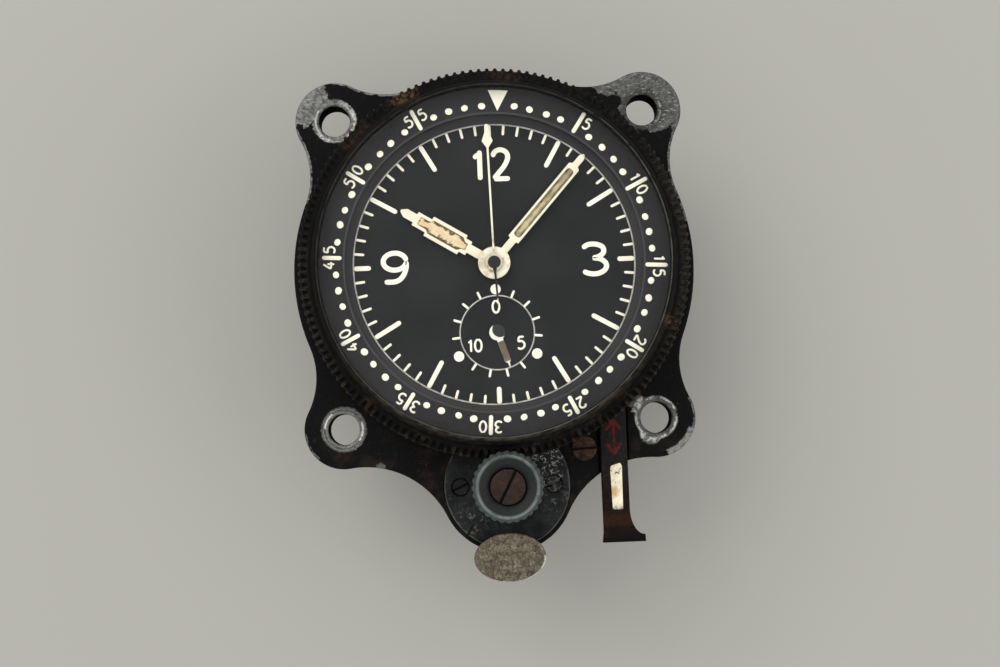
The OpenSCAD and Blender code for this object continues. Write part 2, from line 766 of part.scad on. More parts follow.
module cover_plate_screws() {
    color([0.2, 0.19, 0.18]) for (x = [-1, 1])
        translate([knob_at[0] + x * cover_screw_x, knob_at[1], flange_t + cover_t / 2])
            slotted_screw(cover_screw_r, cover_t / 2, small_thread_r, small_thread_l, slot_w, 25);
}

module winding_knob() {
    color([0.27, 0.31, 0.31]) translate([each knob_at, 0]) difference() {
        union() {
            translate([0, 0, knob_base]) cylinder(r = knob_neck_r, h = knob_head_z - knob_base + eps);
            intersection() {
                translate([0, 0, knob_head_z]) linear_extrude(knob_head_h)
                    polygon([for (i = [0 : knob_ribs * 8 - 1])
                        polar(knob_r - knob_rib + knob_rib * cos(i * 45), i * 45 / knob_ribs)]);
                translate([0, 0, knob_head_z])
                    cylinder(r1 = knob_r + 0.2, r2 = knob_r - knob_taper, h = knob_head_h);
            }
        }
        translate([0, 0, knob_base - eps]) cylinder(r = shaft_r + fit, h = shaft_top - knob_base + eps);
        cylinder(r = knob_thread_r + fit, h = knob_top);
        translate([0, 0, knob_top - knob_dish])
            cylinder(r1 = knob_screw_r + 0.1, r2 = knob_r - knob_rim, h = knob_dish + eps);
    }
}

module winding_knob_screw() {
    color([0.3, 0.18, 0.15]) translate([each knob_at, knob_top - knob_dish])
        slotted_screw(knob_screw_r, knob_head_screw_h, knob_thread_r, knob_thread_l, 0.55, 62);
}

module winding_shaft() {
    color([0.6, 0.58, 0.54]) translate([each knob_at, 0]) difference() {
        union() {
            translate([0, 0, shaft_pivot_z]) cylinder(r = shaft_pivot_r, h = ratchet_z);
            translate([0, 0, ratchet_z]) gear(winding_pinion_n, winding_module, ratchet_t);
            translate([0, 0, ratchet_z]) cylinder(r = shaft_r, h = shaft_top - ratchet_z);
        }
        translate([0, 0, knob_top - knob_dish - knob_thread_l - gap])
            cylinder(r = knob_thread_r + fit, h = 5);
    }
}

module winding_wheel() {
    color([0.72, 0.6, 0.32]) translate([each winding_wheel_at, ratchet_z]) difference() {
        rotate(winding_wheel_turn) gear(winding_wheel_n, winding_module, ratchet_t);
        translate([0, 0, -eps]) cylinder(r = small_thread_r + fit, h = ratchet_t + 2 * eps);
    }
}

module winding_wheel_screw() {
    shank = plate_z - ratchet_z + seat_gap + winding_stud_l;
    color([0.5, 0.5, 0.52]) translate([each winding_wheel_at, ratchet_z - seat_gap]) mirror([0, 0, 1])
        slotted_screw(winding_head_r, winding_head_h, small_thread_r, shank, slot_w, 0);
}

module ratchet_wheel() {
    color([0.7, 0.7, 0.72]) translate([each barrel_at, ratchet_z]) difference() {
        rotate(ratchet_turn) gear(ratchet_n, winding_module, ratchet_t);
        translate([-barrel_square / 2, -barrel_square / 2, -eps])
            cube([barrel_square, barrel_square, ratchet_t + 2 * eps]);
    }
}

module barrel_arbor() {
    ratchet_top = ratchet_z + ratchet_t;
    foot_z = rear_plate_top - 1.2;
    color([0.6, 0.6, 0.62]) translate([each barrel_at, 0]) {
        translate([-barrel_square / 2, -barrel_square / 2, ratchet_z])
            cube([barrel_square, barrel_square, ratchet_t]);
        translate([0, 0, barrel_z - 0.2]) cylinder(r = barrel_arbor_r, h = ratchet_z - barrel_z + 0.2);
        translate([0, 0, ratchet_top]) cylinder(r = barrel_arbor_r, h = plate_z + 0.9 - ratchet_top);
        translate([0, 0, foot_z]) cylinder(r = barrel_pivot_r, h = barrel_z - foot_z);
    }
}

module click() {
    tip = barrel_at + polar(tip_r(ratchet_n, winding_module) + gap, 138);
    way = tip - click_at;
    color([0.65, 0.65, 0.68]) translate([each click_at, ratchet_z]) difference() {
        linear_extrude(ratchet_t - 0.4) {
            circle(1.3);
            rotate(angle_of(way)) polygon([[0, -1.1], [norm(way), 0], [norm(way) - 0.4, 0.8], [0, 1.1]]);
        }
        translate([0, 0, -eps]) cylinder(r = click_stud_r + fit, h = ratchet_t);
    }
}

module setting_lever() {
    half = lever_w / 2;
    color([0.16, 0.11, 0.08]) difference() {
        union() {
            translate([lever_x, 0, lever_z]) linear_extrude(lever_t) polygon(concat(
                [[-half, lever_top], [-half, -lever_reach + 1.5], [-half - 0.2, -lever_reach],
                    [half + lever_flare, -lever_reach], [half + lever_flare, -lever_reach + 0.9]],
                [for (a = [0 : 15 : 60]) [half + lever_flare * (1 - sin(a * 1.5)),
                    -lever_reach + 1 + 4 * (1 - cos(a * 1.5))]],
                [[half, lever_top]]));
            translate([lever_x - half, lever_top - eps, lever_z])
                cube([lever_w, tongue_end - lever_top, tongue_t]);
            translate([lever_x - half - 0.2, -lever_reach, lever_z])
                cube([lever_w + lever_flare + 0.2, lever_lip_w, lever_t + lever_lip_h]);
        }
        lume_strip(1);
    }
}

// The strip of luminous paint let into the lever's upper face
module lume_strip(h) {
    left = lever_x - lever_lume_w / 2 + 0.2;
    translate([left, lever_lume_top - lever_lume_l, lever_z + lever_t - lever_lume_t])
        cube([lever_lume_w, lever_lume_l, h]);
}

module lever_lume() {
    color([0.88, 0.84, 0.72]) lume_strip(lever_lume_t);
}

module lever_guide_screw() {
    color([0.28, 0.17, 0.12]) translate([each guide_screw_at, flange_t])
        slotted_screw(guide_screw_r, guide_head_h, small_thread_r, small_thread_l, slot_w, 0);
}

module stop_pusher() {
    color([0.55, 0.5, 0.42]) on_pusher() {
        translate([0, 0, -pusher_rim]) cylinder(r = pusher_r, h = pusher_rim);
        translate([0, 0, -pusher_t])
            cylinder(r1 = pusher_r - (pusher_t - pusher_rim), r2 = pusher_r, h = pusher_t - pusher_rim);
        translate([0, 0, -pusher_stem_l]) cylinder(r = pusher_stem_r, h = pusher_stem_l);
    }
}

module pusher_bush() {
    color([0.7, 0.58, 0.32]) intersection() {
        on_pusher() translate([0, 0, bush_top - bush_l]) tube(bush_r, pusher_stem_r + fit, bush_l);
        translate([-20, -60, 0.2]) cube([40, 40, 20]);
    }
}

module pusher_spring() {
    color([0.6, 0.6, 0.6]) on_pusher() translate([0, 0, bush_top])
        tube(bush_r - 0.1, pusher_stem_r + 0.2, gap - 0.05);
}

module pivot_hole(at, r) {
    translate([each at, -50]) cylinder(r = r + fit, h = 100);
}

// The axes that run in both plates
train_axes = [third_at, fourth_at, escape_at, pallet_at, balance_at];

module main_plate() {
    color([0.75, 0.65, 0.4]) {
        difference() {
            translate([0, 0, plate_z]) cylinder(r = bore_r - seat_gap, h = main_plate_t);
            for (at = train_axes) pivot_hole(at, pivot_r);
            pivot_hole(middle, centre_arbor_r);
            pivot_hole(carrier_at, arbor_r);
            translate([each barrel_at, plate_z - eps]) cylinder(r = barrel_arbor_r + fit, h = 1);
            translate([each winding_wheel_at, plate_z - eps])
                cylinder(r = small_thread_r + fit, h = winding_stud_l + seat_gap);
            translate([each counter_at, plate_top - pivot_l]) cylinder(r = arbor_r + fit, h = 2);
            for (a = movement_screw_angles) rotate(a) translate([movement_screw_at, 0, plate_z - eps]) {
                cylinder(r = movement_thread_r + fit, h = main_plate_t + 1);
                cylinder(r = movement_head_r + fit, h = movement_head_h + eps);
            }
            for (a = pillar_angles) rotate(a) translate([pillar_at, 0, plate_z - eps])
                cylinder(r = tenon_r + fit, h = tenon_l + seat_gap);
        }
        translate([each click_at, ratchet_z]) cylinder(r = click_stud_r, h = plate_z - ratchet_z + eps);
        translate([each minute_wheel_at, plate_top - eps])
            cylinder(r = arbor_r, h = hour_level + wheel_t - plate_top);
    }
}

module movement_screws() {
    shank = main_plate_t + 0.8;
    color([0.45, 0.47, 0.55]) for (a = movement_screw_angles) rotate(a)
        translate([movement_screw_at, 0, plate_z + movement_head_h]) mirror([0, 0, 1])
            slotted_screw(movement_head_r, movement_head_h, movement_thread_r, shank, slot_w, 0);
}

module rear_plate() {
    color([0.75, 0.65, 0.4]) difference() {
        translate([0, 0, rear_plate_z]) cylinder(r = rear_plate_r, h = rear_plate_t);
        for (at = train_axes) pivot_hole(at, pivot_r);
        pivot_hole(middle, centre_arbor_r);
        pivot_hole(carrier_at, arbor_r);
        translate([each barrel_at, rear_plate_top - 1.3]) cylinder(r = barrel_pivot_r + fit, h = 2);
        for (a = pillar_angles) rotate(a) pivot_hole([pillar_at, 0], plate_thread_r);
        for (at = bridge_ends) translate([each at, rear_plate_z - eps])
            cylinder(r = bridge_thread_r + fit, h = bridge_thread_l + seat_gap);
    }
}

module plate_pillars() {
    color([0.8, 0.72, 0.5]) for (a = pillar_angles) rotate(a) translate([pillar_at, 0, 0]) difference() {
        union() {
            translate([0, 0, rear_plate_top]) cylinder(r = pillar_r, h = plate_gap);
            translate([0, 0, plate_z - eps]) cylinder(r = tenon_r, h = tenon_l);
        }
        translate([0, 0, rear_plate_top - eps]) cylinder(r = plate_thread_r + fit, h = plate_thread_l + gap);
    }
}

module plate_screws() {
    shank = rear_plate_t + plate_thread_l;
    color([0.45, 0.47, 0.55]) for (a = pillar_angles) rotate(a)
        translate([pillar_at, 0, rear_plate_z]) mirror([0, 0, 1])
            slotted_screw(plate_head_r, plate_head_h, plate_thread_r, shank, slot_w, 0);
}

module barrel() {
    color([0.8, 0.7, 0.42]) translate([each barrel_at, barrel_z]) difference() {
        union() {
            gear(barrel_n, barrel_module, great_t);
            cylinder(r = drum_r, h = barrel_h);
        }
        translate([0, 0, drum_wall]) cylinder(r = drum_r - drum_wall, h = barrel_h - 2 * drum_wall);
        translate([0, 0, -eps]) cylinder(r = barrel_arbor_r + fit, h = barrel_h + 2 * eps);
    }
}

// A flat spiral strip from radius r0 to r1
module spiral_strip(r0, r1, turns, strip, h) {
    steps = turns * 24;
    inner = [for (i = [0 : steps]) polar(r0 + (r1 - r0) * i / steps, i * 15)];
    outer = [for (i = [steps : -1 : 0]) polar(r0 + strip + (r1 - r0) * i / steps, i * 15)];
    linear_extrude(h) polygon(concat(inner, outer));
}

module mainspring() {
    strip = 0.3;
    color([0.35, 0.4, 0.5]) translate([each barrel_at, barrel_z + drum_wall])
        spiral_strip(3.2, drum_r - drum_wall - strip, 7, strip, barrel_h - 2 * drum_wall);
}

module centre_wheel() {
    color([0.78, 0.66, 0.35]) difference() {
        union() {
            rotate(centre_turn) {
                translate([0, 0, centre_z]) train_wheel(centre_n, centre_module, wheel_t, 2);
                translate([0, 0, centre_z])
                    gear(centre_pinion_n, barrel_module, barrel_z + great_t - centre_z);
            }
            translate([0, 0, rear_plate_z + 0.2]) cylinder(r = centre_arbor_r, h = hour_level - rear_plate_z);
        }
        translate([0, 0, rear_plate_z]) cylinder(r = sweep_arbor_r + fit, h = 40);
    }
}

module third_wheel() {
    color([0.78, 0.66, 0.35]) translate([each third_at, 0]) {
        rotate(third_turn) {
            translate([0, 0, third_z]) train_wheel(third_n, third_module, wheel_t, 1.5);
            translate([0, 0, centre_z - 0.2])
                gear(third_pinion_n, centre_module, third_z - centre_z + 0.2 + eps);
        }
        arbor(arbor_r, rear_plate_top, plate_z);
    }
}

module fourth_wheel() {
    color([0.78, 0.66, 0.35]) translate([each fourth_at, 0]) {
        rotate(fourth_turn) {
            translate([0, 0, fourth_z]) train_wheel(fourth_n, fourth_module, wheel_t, 1.4);
            translate([0, 0, third_z - 0.2])
                gear(fourth_pinion_n, third_module, fourth_z - third_z + 0.2 + eps);
        }
        arbor(arbor_r, rear_plate_top, plate_z);
    }
}

module escape_wheel() {
    color([0.7, 0.7, 0.72]) translate([each escape_at, 0]) rotate(escape_turn) {
        translate([0, 0, escape_z]) linear_extrude(wheel_t) polygon([for (i = [0 : escape_n - 1])
            for (p = [[escape_r - 0.9, 0], [escape_r, 5], [escape_r, 7], [escape_r - 0.9, 14]])
            polar(p[0], i * 360 / escape_n + p[1])]);
        translate([0, 0, fourth_z - 0.2])
            gear(escape_pinion_n, fourth_module, escape_z - fourth_z + 0.2 + eps);
        arbor(arbor_r - 0.12, rear_plate_top, plate_z);
    }
}

module pallet_lever() {
    to_wheel = angle_of(escape_at - pallet_at);
    to_balance = angle_of(balance_at - pallet_at);
    color([0.7, 0.7, 0.72]) translate([each pallet_at, 0]) {
        translate([0, 0, escape_z]) linear_extrude(wheel_t) {
            circle(0.8);
            rotate(to_balance) polygon([[0, -0.4], [balance_r - 1, -0.3], [balance_r - 1, 0.3], [0, 0.4]]);
            for (side = [-1, 1]) rotate(to_wheel + side * 57)
                polygon([[0, -0.45], [3, -0.3], [3, 0.3], [0, 0.45]]);
        }
        arbor(arbor_r - 0.1, rear_plate_top, plate_z);
    }
}

module balance_wheel() {
    color([0.85, 0.75, 0.45]) translate([each balance_at, 0]) {
        translate([0, 0, balance_z]) tube(balance_r, balance_r - 0.7, 0.8);
        translate([-balance_r + 0.3, -0.5, balance_z]) cube([2 * balance_r - 0.6, 1, 0.5]);
        translate([0, 0, escape_z]) cylinder(r = 1, h = wheel_t);
        arbor(arbor_r, rear_plate_top, plate_z);
    }
}

module hairspring() {
    color([0.3, 0.35, 0.6]) translate([each balance_at, 0]) {
        translate([0, 0, hairspring_z])
            spiral_strip(hairspring_eye, hairspring_r, 5, hairspring_t, hairspring_w);
        translate([hairspring_r + 0.3, 0, rear_plate_top])
            cylinder(r = stud_r, h = hairspring_z - rear_plate_top + hairspring_w);
    }
}

module cannon_pinion() {
    color([0.6, 0.6, 0.62]) difference() {
        union() {
            translate([0, 0, cannon_level]) gear(cannon_n, cannon_module, wheel_t);
            translate([0, 0, cannon_level]) cylinder(r = cannon_r, h = minute_z + hand_t - cannon_level);
        }
        translate([0, 0, cannon_level - eps]) cylinder(r = centre_arbor_r + fit, h = hour_level);
    }
}

module minute_wheel() {
    color([0.78, 0.66, 0.35]) translate([each minute_wheel_at, 0]) rotate(minute_wheel_turn) difference() {
        union() {
            translate([0, 0, cannon_level]) train_wheel(minute_wheel_n, cannon_module, wheel_t, 1.6);
            translate([0, 0, cannon_level])
                gear(minute_pinion_n, hour_module, hour_level + wheel_t - cannon_level);
        }
        translate([0, 0, cannon_level - eps]) cylinder(r = arbor_r + fit, h = 5);
    }
}

module hour_wheel() {
    color([0.78, 0.66, 0.35]) difference() {
        union() {
            translate([0, 0, hour_level]) rotate(hour_turn)
                train_wheel(hour_wheel_n, hour_module, wheel_t, 2.2);
            translate([0, 0, hour_level]) cylinder(r = hour_pipe_r, h = hour_z + hand_t - hour_level);
        }
        translate([0, 0, hour_level - eps]) cylinder(r = cannon_r + fit, h = 6);
    }
}

module sweep_arbor() {
    color([0.6, 0.6, 0.62]) {
        translate([0, 0, bridge_z + 0.3]) cylinder(r = sweep_arbor_r, h = sweep_z + 0.29 - bridge_z - 0.3);
        translate([0, 0, carrier_z - 0.2]) gear(sweep_pinion_n, carrier_module, wheel_t + 0.4);
        translate([0, 0, heart_z]) linear_extrude(wheel_t)
            polygon([for (a = [0 : 10 : 350]) polar(heart_r + heart_rise * abs(a - 180) / 180, a)]);
    }
}

module counter_carrier() {
    color([0.78, 0.66, 0.35]) translate([each carrier_at, 0]) {
        rotate(carrier_turn) {
            translate([0, 0, carrier_z]) train_wheel(carrier_n, carrier_module, wheel_t, 1.6);
            translate([0, 0, cannon_level]) gear(carrier_pinion_n, counter_module, wheel_t);
        }
        translate([0, 0, bridge_z + 0.3]) cylinder(r = arbor_r, h = cannon_level + wheel_t - bridge_z - 0.3);
    }
}

module counter_wheel() {
    color([0.78, 0.66, 0.35]) translate([each counter_at, 0]) {
        translate([0, 0, cannon_level]) rotate(counter_turn)
            train_wheel(counter_n, counter_module, wheel_t, 1.5);
        translate([0, 0, plate_top - 0.6]) cylinder(r = arbor_r, h = counter_z + hand_t - plate_top + 0.6);
    }
}

module stop_bridge() {
    color([0.75, 0.65, 0.4]) difference() {
        union() {
            translate([0, 0, bridge_z]) linear_extrude(bridge_t) {
                for (at = concat(bridge_ends, [middle, carrier_at])) translate(at) circle(bridge_boss_r);
                for (pair = [[bridge_ends[0], middle], [middle, carrier_at], [carrier_at, bridge_ends[1]]])
                    translate(pair[0]) rotate(angle_of(pair[1] - pair[0]))
                        translate([0, -bridge_w / 2]) square([norm(pair[1] - pair[0]), bridge_w]);
            }
            for (at = bridge_ends) translate([each at, bridge_z])
                cylinder(r = bridge_post_r, h = rear_plate_z - bridge_z);
        }
        pivot_hole(middle, sweep_arbor_r);
        pivot_hole(carrier_at, arbor_r);
        for (at = bridge_ends) pivot_hole(at, bridge_thread_r);
    }
}

module stop_bridge_screws() {
    shank = rear_plate_z - bridge_z + bridge_thread_l;
    color([0.45, 0.47, 0.55]) for (at = bridge_ends) translate([each at, bridge_z]) mirror([0, 0, 1])
        slotted_screw(bridge_head_r, bridge_head_h, bridge_thread_r, shank, slot_w, 0);
}

flange_body();
rear_case();
rear_case_gasket();
rear_case_screws();
bezel();
bezel_spring_ring();
glass();
glass_seal();
glass_holding_ring();
minute_ring();
dial();
hour_hand();
hour_hand_lume();
minute_hand();
minute_hand_lume();
sweep_hand();
counter_hand();
cover_plate();
cover_plate_screws();
winding_knob();
winding_knob_screw();
winding_shaft();
winding_wheel();
winding_wheel_screw();
ratchet_wheel();
click();
setting_lever();
lever_lume();
lever_guide_screw();
stop_pusher();
pusher_bush();
pusher_spring();
main_plate();
movement_screws();
rear_plate();
plate_pillars();
plate_screws();
barrel();
barrel_arbor();
mainspring();
centre_wheel();
third_wheel();
fourth_wheel();
escape_wheel();
pallet_lever();
balance_wheel();
hairspring();
cannon_pinion();
minute_wheel();
hour_wheel();
sweep_arbor();
counter_carrier();
counter_wheel();
stop_bridge();
stop_bridge_screws();
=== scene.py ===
import json
import math

import bmesh
import bpy
import numpy as np
from mathutils import Matrix, Vector
from mathutils.geometry import delaunay_2d_cdt


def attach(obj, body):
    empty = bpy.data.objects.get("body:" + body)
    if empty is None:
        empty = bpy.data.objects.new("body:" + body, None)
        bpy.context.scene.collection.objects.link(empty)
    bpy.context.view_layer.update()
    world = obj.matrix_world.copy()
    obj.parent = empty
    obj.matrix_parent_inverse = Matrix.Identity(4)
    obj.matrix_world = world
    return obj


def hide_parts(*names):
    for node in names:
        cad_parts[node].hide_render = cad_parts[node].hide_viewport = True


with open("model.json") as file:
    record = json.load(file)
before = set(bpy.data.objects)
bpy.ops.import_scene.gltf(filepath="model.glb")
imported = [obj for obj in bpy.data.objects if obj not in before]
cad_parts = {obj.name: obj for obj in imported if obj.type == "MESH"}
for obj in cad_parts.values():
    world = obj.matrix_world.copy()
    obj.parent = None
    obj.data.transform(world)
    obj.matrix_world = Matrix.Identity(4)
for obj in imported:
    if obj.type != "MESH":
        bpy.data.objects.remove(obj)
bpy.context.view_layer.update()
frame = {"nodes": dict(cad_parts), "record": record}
nodes = frame["nodes"]
milli = 0.001  # sizes are in millimetres, apart from those of floor and lamps
print("frame loaded:", len(nodes), "nodes")


# helpers for lines and profiles

def circleLine(at, radius, count, start=0.0, turn=360.0):  # points on a circle, counter-clockwise
    angle = np.radians(start + turn * np.arange(count) / (count if abs(turn) == 360 else count - 1))
    return np.stack([at[0] + radius * np.cos(angle), at[1] + radius * np.sin(angle)], 1)


def arcLine(at, rx, ry, start, end, count=40):  # part of an ellipse
    angle = np.radians(np.linspace(start, end, count))
    return np.stack([at[0] + rx * np.cos(angle), at[1] + ry * np.sin(angle)], 1)


def runOf(line):  # the length of a line up to each of its points
    return np.concatenate([[0], np.cumsum(np.linalg.norm(np.diff(line, axis=0), axis=1))])


def evenLine(points, count, closed=False):  # the same line with its points at equal steps of its length
    points = np.asarray(points, float)
    if closed:
        points = np.vstack([points, points[:1]])
    run = runOf(points)
    want = np.linspace(0, run[-1], count, endpoint=not closed)
    return np.stack([np.interp(want, run, points[:, k]) for k in range(points.shape[1])], 1)


def smoothLine(points, count):  # a cubic through every point: each stretch leans on its two neighbours
    p = np.asarray(points, float)
    p = np.vstack([2 * p[0] - p[1], p, 2 * p[-1] - p[-2]])
    t = np.linspace(0, len(p) - 3 - 1e-9, count * 4)
    i, u = t.astype(int), (t % 1)[:, None]
    a, b, c, d = p[i], p[i + 1], p[i + 2], p[i + 3]
    bow, twist = 2 * a - 5 * b + 4 * c - d, 3 * b - a - 3 * c + d
    return evenLine(0.5 * (2 * b + (c - a) * u + bow * u ** 2 + twist * u ** 3), count)


def soften(points, radius, steps=4, closed=False):
    # each corner becomes a short curve, a parabola that starts radius before it and ends radius after it
    p = np.asarray(points, float)
    before, after = np.roll(p, 1, 0) - p, np.roll(p, -1, 0) - p
    long0, long1 = np.linalg.norm(before, axis=1), np.linalg.norm(after, axis=1)
    reach = np.minimum(radius, 0.48 * np.minimum(long0, long1))[:, None]
    start, end = p + before / long0[:, None] * reach, p + after / long1[:, None] * reach
    u = np.linspace(0, 1, steps + 1)[None, :, None]
    curve = (1 - u) ** 2 * start[:, None] + 2 * u * (1 - u) * p[:, None] + u ** 2 * end[:, None]
    if closed:
        return curve.reshape(-1, p.shape[1])
    return np.vstack([p[:1], curve[1:-1].reshape(-1, p.shape[1]), p[-1:]])


def sideWays(line, closed):
    # vectors to the right of the way, outwards on a counter-clockwise loop; longer at a corner, so that an
    # inset line keeps its distance from both sides
    if closed:
        way = np.roll(line, -1, 0) - line
    else:
        way = np.vstack([np.diff(line, axis=0), line[-1:] - line[-2:-1]])
    way = way / np.maximum(np.linalg.norm(way, axis=1), 1e-9)[:, None]
    out = np.stack([way[:, 1], -way[:, 0]], 1)
    last = np.roll(out, 1, 0)
    if not closed:
        last[0] = out[0]
    return (out + last) / np.maximum(1 + np.sum(out * last, 1), 0.4)[:, None]


def inset(loop, far):
    # the loop moved inwards by far; a point that ends too near another side has crossed over a corner, and
    # takes the place of the last good one before it
    shifted = loop - sideWays(loop, True) * far
    way = np.roll(loop, -1, 0) - loop
    offset = shifted[:, None] - loop[None]
    share = np.clip(np.sum(offset * way, 2) / np.maximum(np.sum(way * way, 1), 1e-12), 0, 1)
    gap = np.linalg.norm(offset - share[..., None] * way, axis=2).min(1)
    index = np.maximum.accumulate(np.where(gap > 0.9995 * far - 1e-9, np.arange(len(loop)), -1))
    return shifted[np.where(index < 0, index[-1], index)]


def turned(points, degrees, at=(0, 0)):  # turns points about the origin, counter-clockwise, then shifts them
    a = math.radians(degrees)
    spin = np.array([[math.cos(a), math.sin(a)], [-math.sin(a), math.cos(a)]])
    return points @ spin + np.asarray(at, float)


def clockWay(angle):  # direction of a clock angle on the dial
    return math.sin(math.radians(angle)), math.cos(math.radians(angle))


def rayLine(angle, near, far, at=(0, 0)):  # a radial line at a clock angle
    way = np.array(clockWay(angle))
    return np.array([way * near, way * far]) + np.asarray(at, float)


# helpers for surfaces: each returns its points and a list of its faces

def gridFaces(rows, columns, closeRows, closeColumns):  # quads of a grid, its seams closed where asked
    i = np.arange(rows if closeRows else rows - 1)[:, None]
    j = np.arange(columns if closeColumns else columns - 1)[None, :]
    i2, j2 = (i + 1) % rows, (j + 1) % columns
    corners = i * columns + j, i2 * columns + j, i2 * columns + j2, i * columns + j2
    return np.stack(np.broadcast_arrays(*corners), -1).reshape(-1, 4)


def lathe(profile, count, at=(0, 0), ring=False, wave=None):
    # radius and height of the profile are swept round an axis; wave(angle, radius, height) gives a new radius
    profile = np.asarray(profile, float)
    angle = 2 * np.pi * np.arange(count)[:, None] / count
    radius = np.broadcast_to(profile[None, :, 0], (count, len(profile)))
    height = np.broadcast_to(profile[None, :, 1], (count, len(profile)))
    if wave is not None:
        radius = wave(angle, radius, height)
    points = np.stack([at[0] + radius * np.cos(angle), at[1] + radius * np.sin(angle), height], -1)
    return points.reshape(-1, 3), gridFaces(count, len(profile), True, ring).tolist()


def inLoops(points, loops):  # even-odd test of points against closed loops
    inside = np.zeros(len(points), bool)
    x, y = points[:, :1], points[:, 1:]
    for loop in loops:
        a, b = loop, np.roll(loop, -1, 0)
        crosses = (a[:, 1] > y) != (b[:, 1] > y)
        rise = np.where(b[:, 1] == a[:, 1], 1e-12, b[:, 1] - a[:, 1])
        meets = (b[:, 0] - a[:, 0]) * (y - a[:, 1]) / rise + a[:, 0]
        inside ^= (np.sum(crosses & (x < meets), 1) % 2).astype(bool)
    return inside


def flatFill(loops, extra=None):
    # triangles of the flat region between closed loops, as indices into their points and the extra ones
    points = np.vstack(loops if extra is None else [*loops, extra])
    edges, start = [], 0
    for loop in loops:
        i = np.arange(len(loop))
        edges.append(np.stack([start + i, start + (i + 1) % len(loop)], 1))
        start += len(loop)
    found = delaunay_2d_cdt([Vector(p) for p in points], np.vstack(edges).tolist(), [], 0, 1e-7)
    source = np.array([s[0] if s else -1 for s in found[3]])
    faces = source[np.array(found[2])]
    a, b, c = (points[faces[:, k]] for k in range(3))
    area = np.abs((b - a)[:, 0] * (c - a)[:, 1] - (b - a)[:, 1] * (c - a)[:, 0])
    longest = np.max([np.linalg.norm(e, axis=1) for e in (b - a, c - b, a - c)], 0)
    solid = area > 1e-6 * longest  # leaves out slivers along a straight side
    return faces[inLoops((a + b + c) / 3, loops) & (faces >= 0).all(1) & solid]


def roundedPlate(loops, low, high, edge, steps=3, extra=None, topEdge=True, lowEdge=True, band=0.0):
    # a profile with rounded corners is carried along every loop, and flat faces close the top and the bottom;
    # loops have the material on their left, and a band inside the upper edge gives wear a place to fade
    quarter = np.radians(np.linspace(0, 90, steps + 1))
    rise, fall = edge * (1 - np.cos(quarter)), edge * (1 - np.sin(quarter))
    foot = np.stack([-fall, low + rise], 1) if lowEdge else np.array([[0, low]])
    head = np.stack([-rise, high - fall], 1) if topEdge else np.array([[0, high]])
    profile = np.vstack([foot, head, [[-edge - band, high]]] if band else [foot, head])
    points, faces, tops, lows, start = [], [], [], [], 0
    for loop in loops:
        flat = np.stack([inset(loop, -far) for far in profile[:, 0]], 1)
        height = np.broadcast_to(profile[None, :, 1:], (*flat.shape[:2], 1))
        points.append(np.concatenate([flat, height], -1).reshape(-1, 3))
        faces += (start + gridFaces(len(loop), len(profile), True, False)).tolist()
        index = start + np.arange(len(loop)) * len(profile)
        tops.append((flat[:, -1], index + len(profile) - 1))
        lows.append((flat[:, 0], index))
        start += len(loop) * len(profile)
    for ends, up, more in ((tops, True, extra), (lows, False, None)):
        index = np.concatenate([e[1] for e in ends])
        if more is not None:
            points.append(np.column_stack([more, np.full(len(more), high)]))
            index = np.concatenate([index, start + np.arange(len(more))])
        triangles = index[flatFill([e[0] for e in ends], more)]
        a, b, c = (np.vstack(points)[triangles[:, k], :2] for k in range(3))
        turn = (b[:, 0] - a[:, 0]) * (c[:, 1] - a[:, 1]) - (b[:, 1] - a[:, 1]) * (c[:, 0] - a[:, 0])
        faces += np.where(((turn > 0) == up)[:, None], triangles, triangles[:, ::-1]).tolist()
    return np.vstack(points), faces


def ribbon(line, half, base, rise, closed=False):
    # a bead of paint along a flat line: low at both sides, full in the middle, and down to a point where it
    # has no width
    line, half = np.asarray(line, float), np.asarray(half, float)
    out = sideWays(line, closed)
    across = np.array([1, 0.86, 0.35, -0.35, -0.86, -1])
    up = np.array([0, 0.8, 1, 1, 0.8, 0])
    flat = line[:, None] + out[:, None] * (across * half[:, None])[..., None]
    height = base + rise * up * np.minimum(4 * half / half.max(), 1)[:, None]
    points = np.concatenate([flat, height[..., None]], -1).reshape(-1, 3)
    return points, gridFaces(len(line), len(across), closed, True).tolist()


def circleBead(at, radius, width, base, rise, count=200):  # a painted circle
    return ribbon(circleLine(at, radius, count), np.full(count, width / 2), base, rise, True)


def roundEnds(line, width):  # half widths that fall to nothing at both ends, as a circle does
    run = runOf(line)
    end = np.minimum(np.minimum(run, run[-1] - run), width / 2)
    return np.sqrt(np.maximum((width / 2) ** 2 - (width / 2 - end) ** 2, 0))


def stroke(points, width, base, rise, count=26):
    # a painted stroke with round ends; its points are crowded at the ends, as those of a cosine are
    line = evenLine(points, 400)
    ease = 0.5 - 0.5 * np.cos(np.linspace(0, np.pi, count))
    line = np.stack([np.interp(ease, np.linspace(0, 1, 400), line[:, k]) for k in (0, 1)], 1)
    return ribbon(line, roundEnds(line, width), base, rise)


def dot(at, radius, base, rise, lean=0, longer=0.0):  # a stroke about as long as it is wide
    at, way = np.asarray(at, float), turned(np.array([[radius * (1 + longer), 0.0]]), lean)[0]
    return stroke(np.array([at - way, at + way]), 2 * radius, base, rise, 14)


def joined(parts):  # several surfaces as one
    points, faces, start = [], [], 0
    for p, f in parts:
        points.append(p)
        faces += [[start + k for k in face] for face in f]
        start += len(p)
    return np.vstack(points), faces


def moved(part, matrix):  # a surface carried by a four by four matrix
    points, faces = part
    m = np.array(matrix)
    return points @ m[:3, :3].T + m[:3, 3], faces


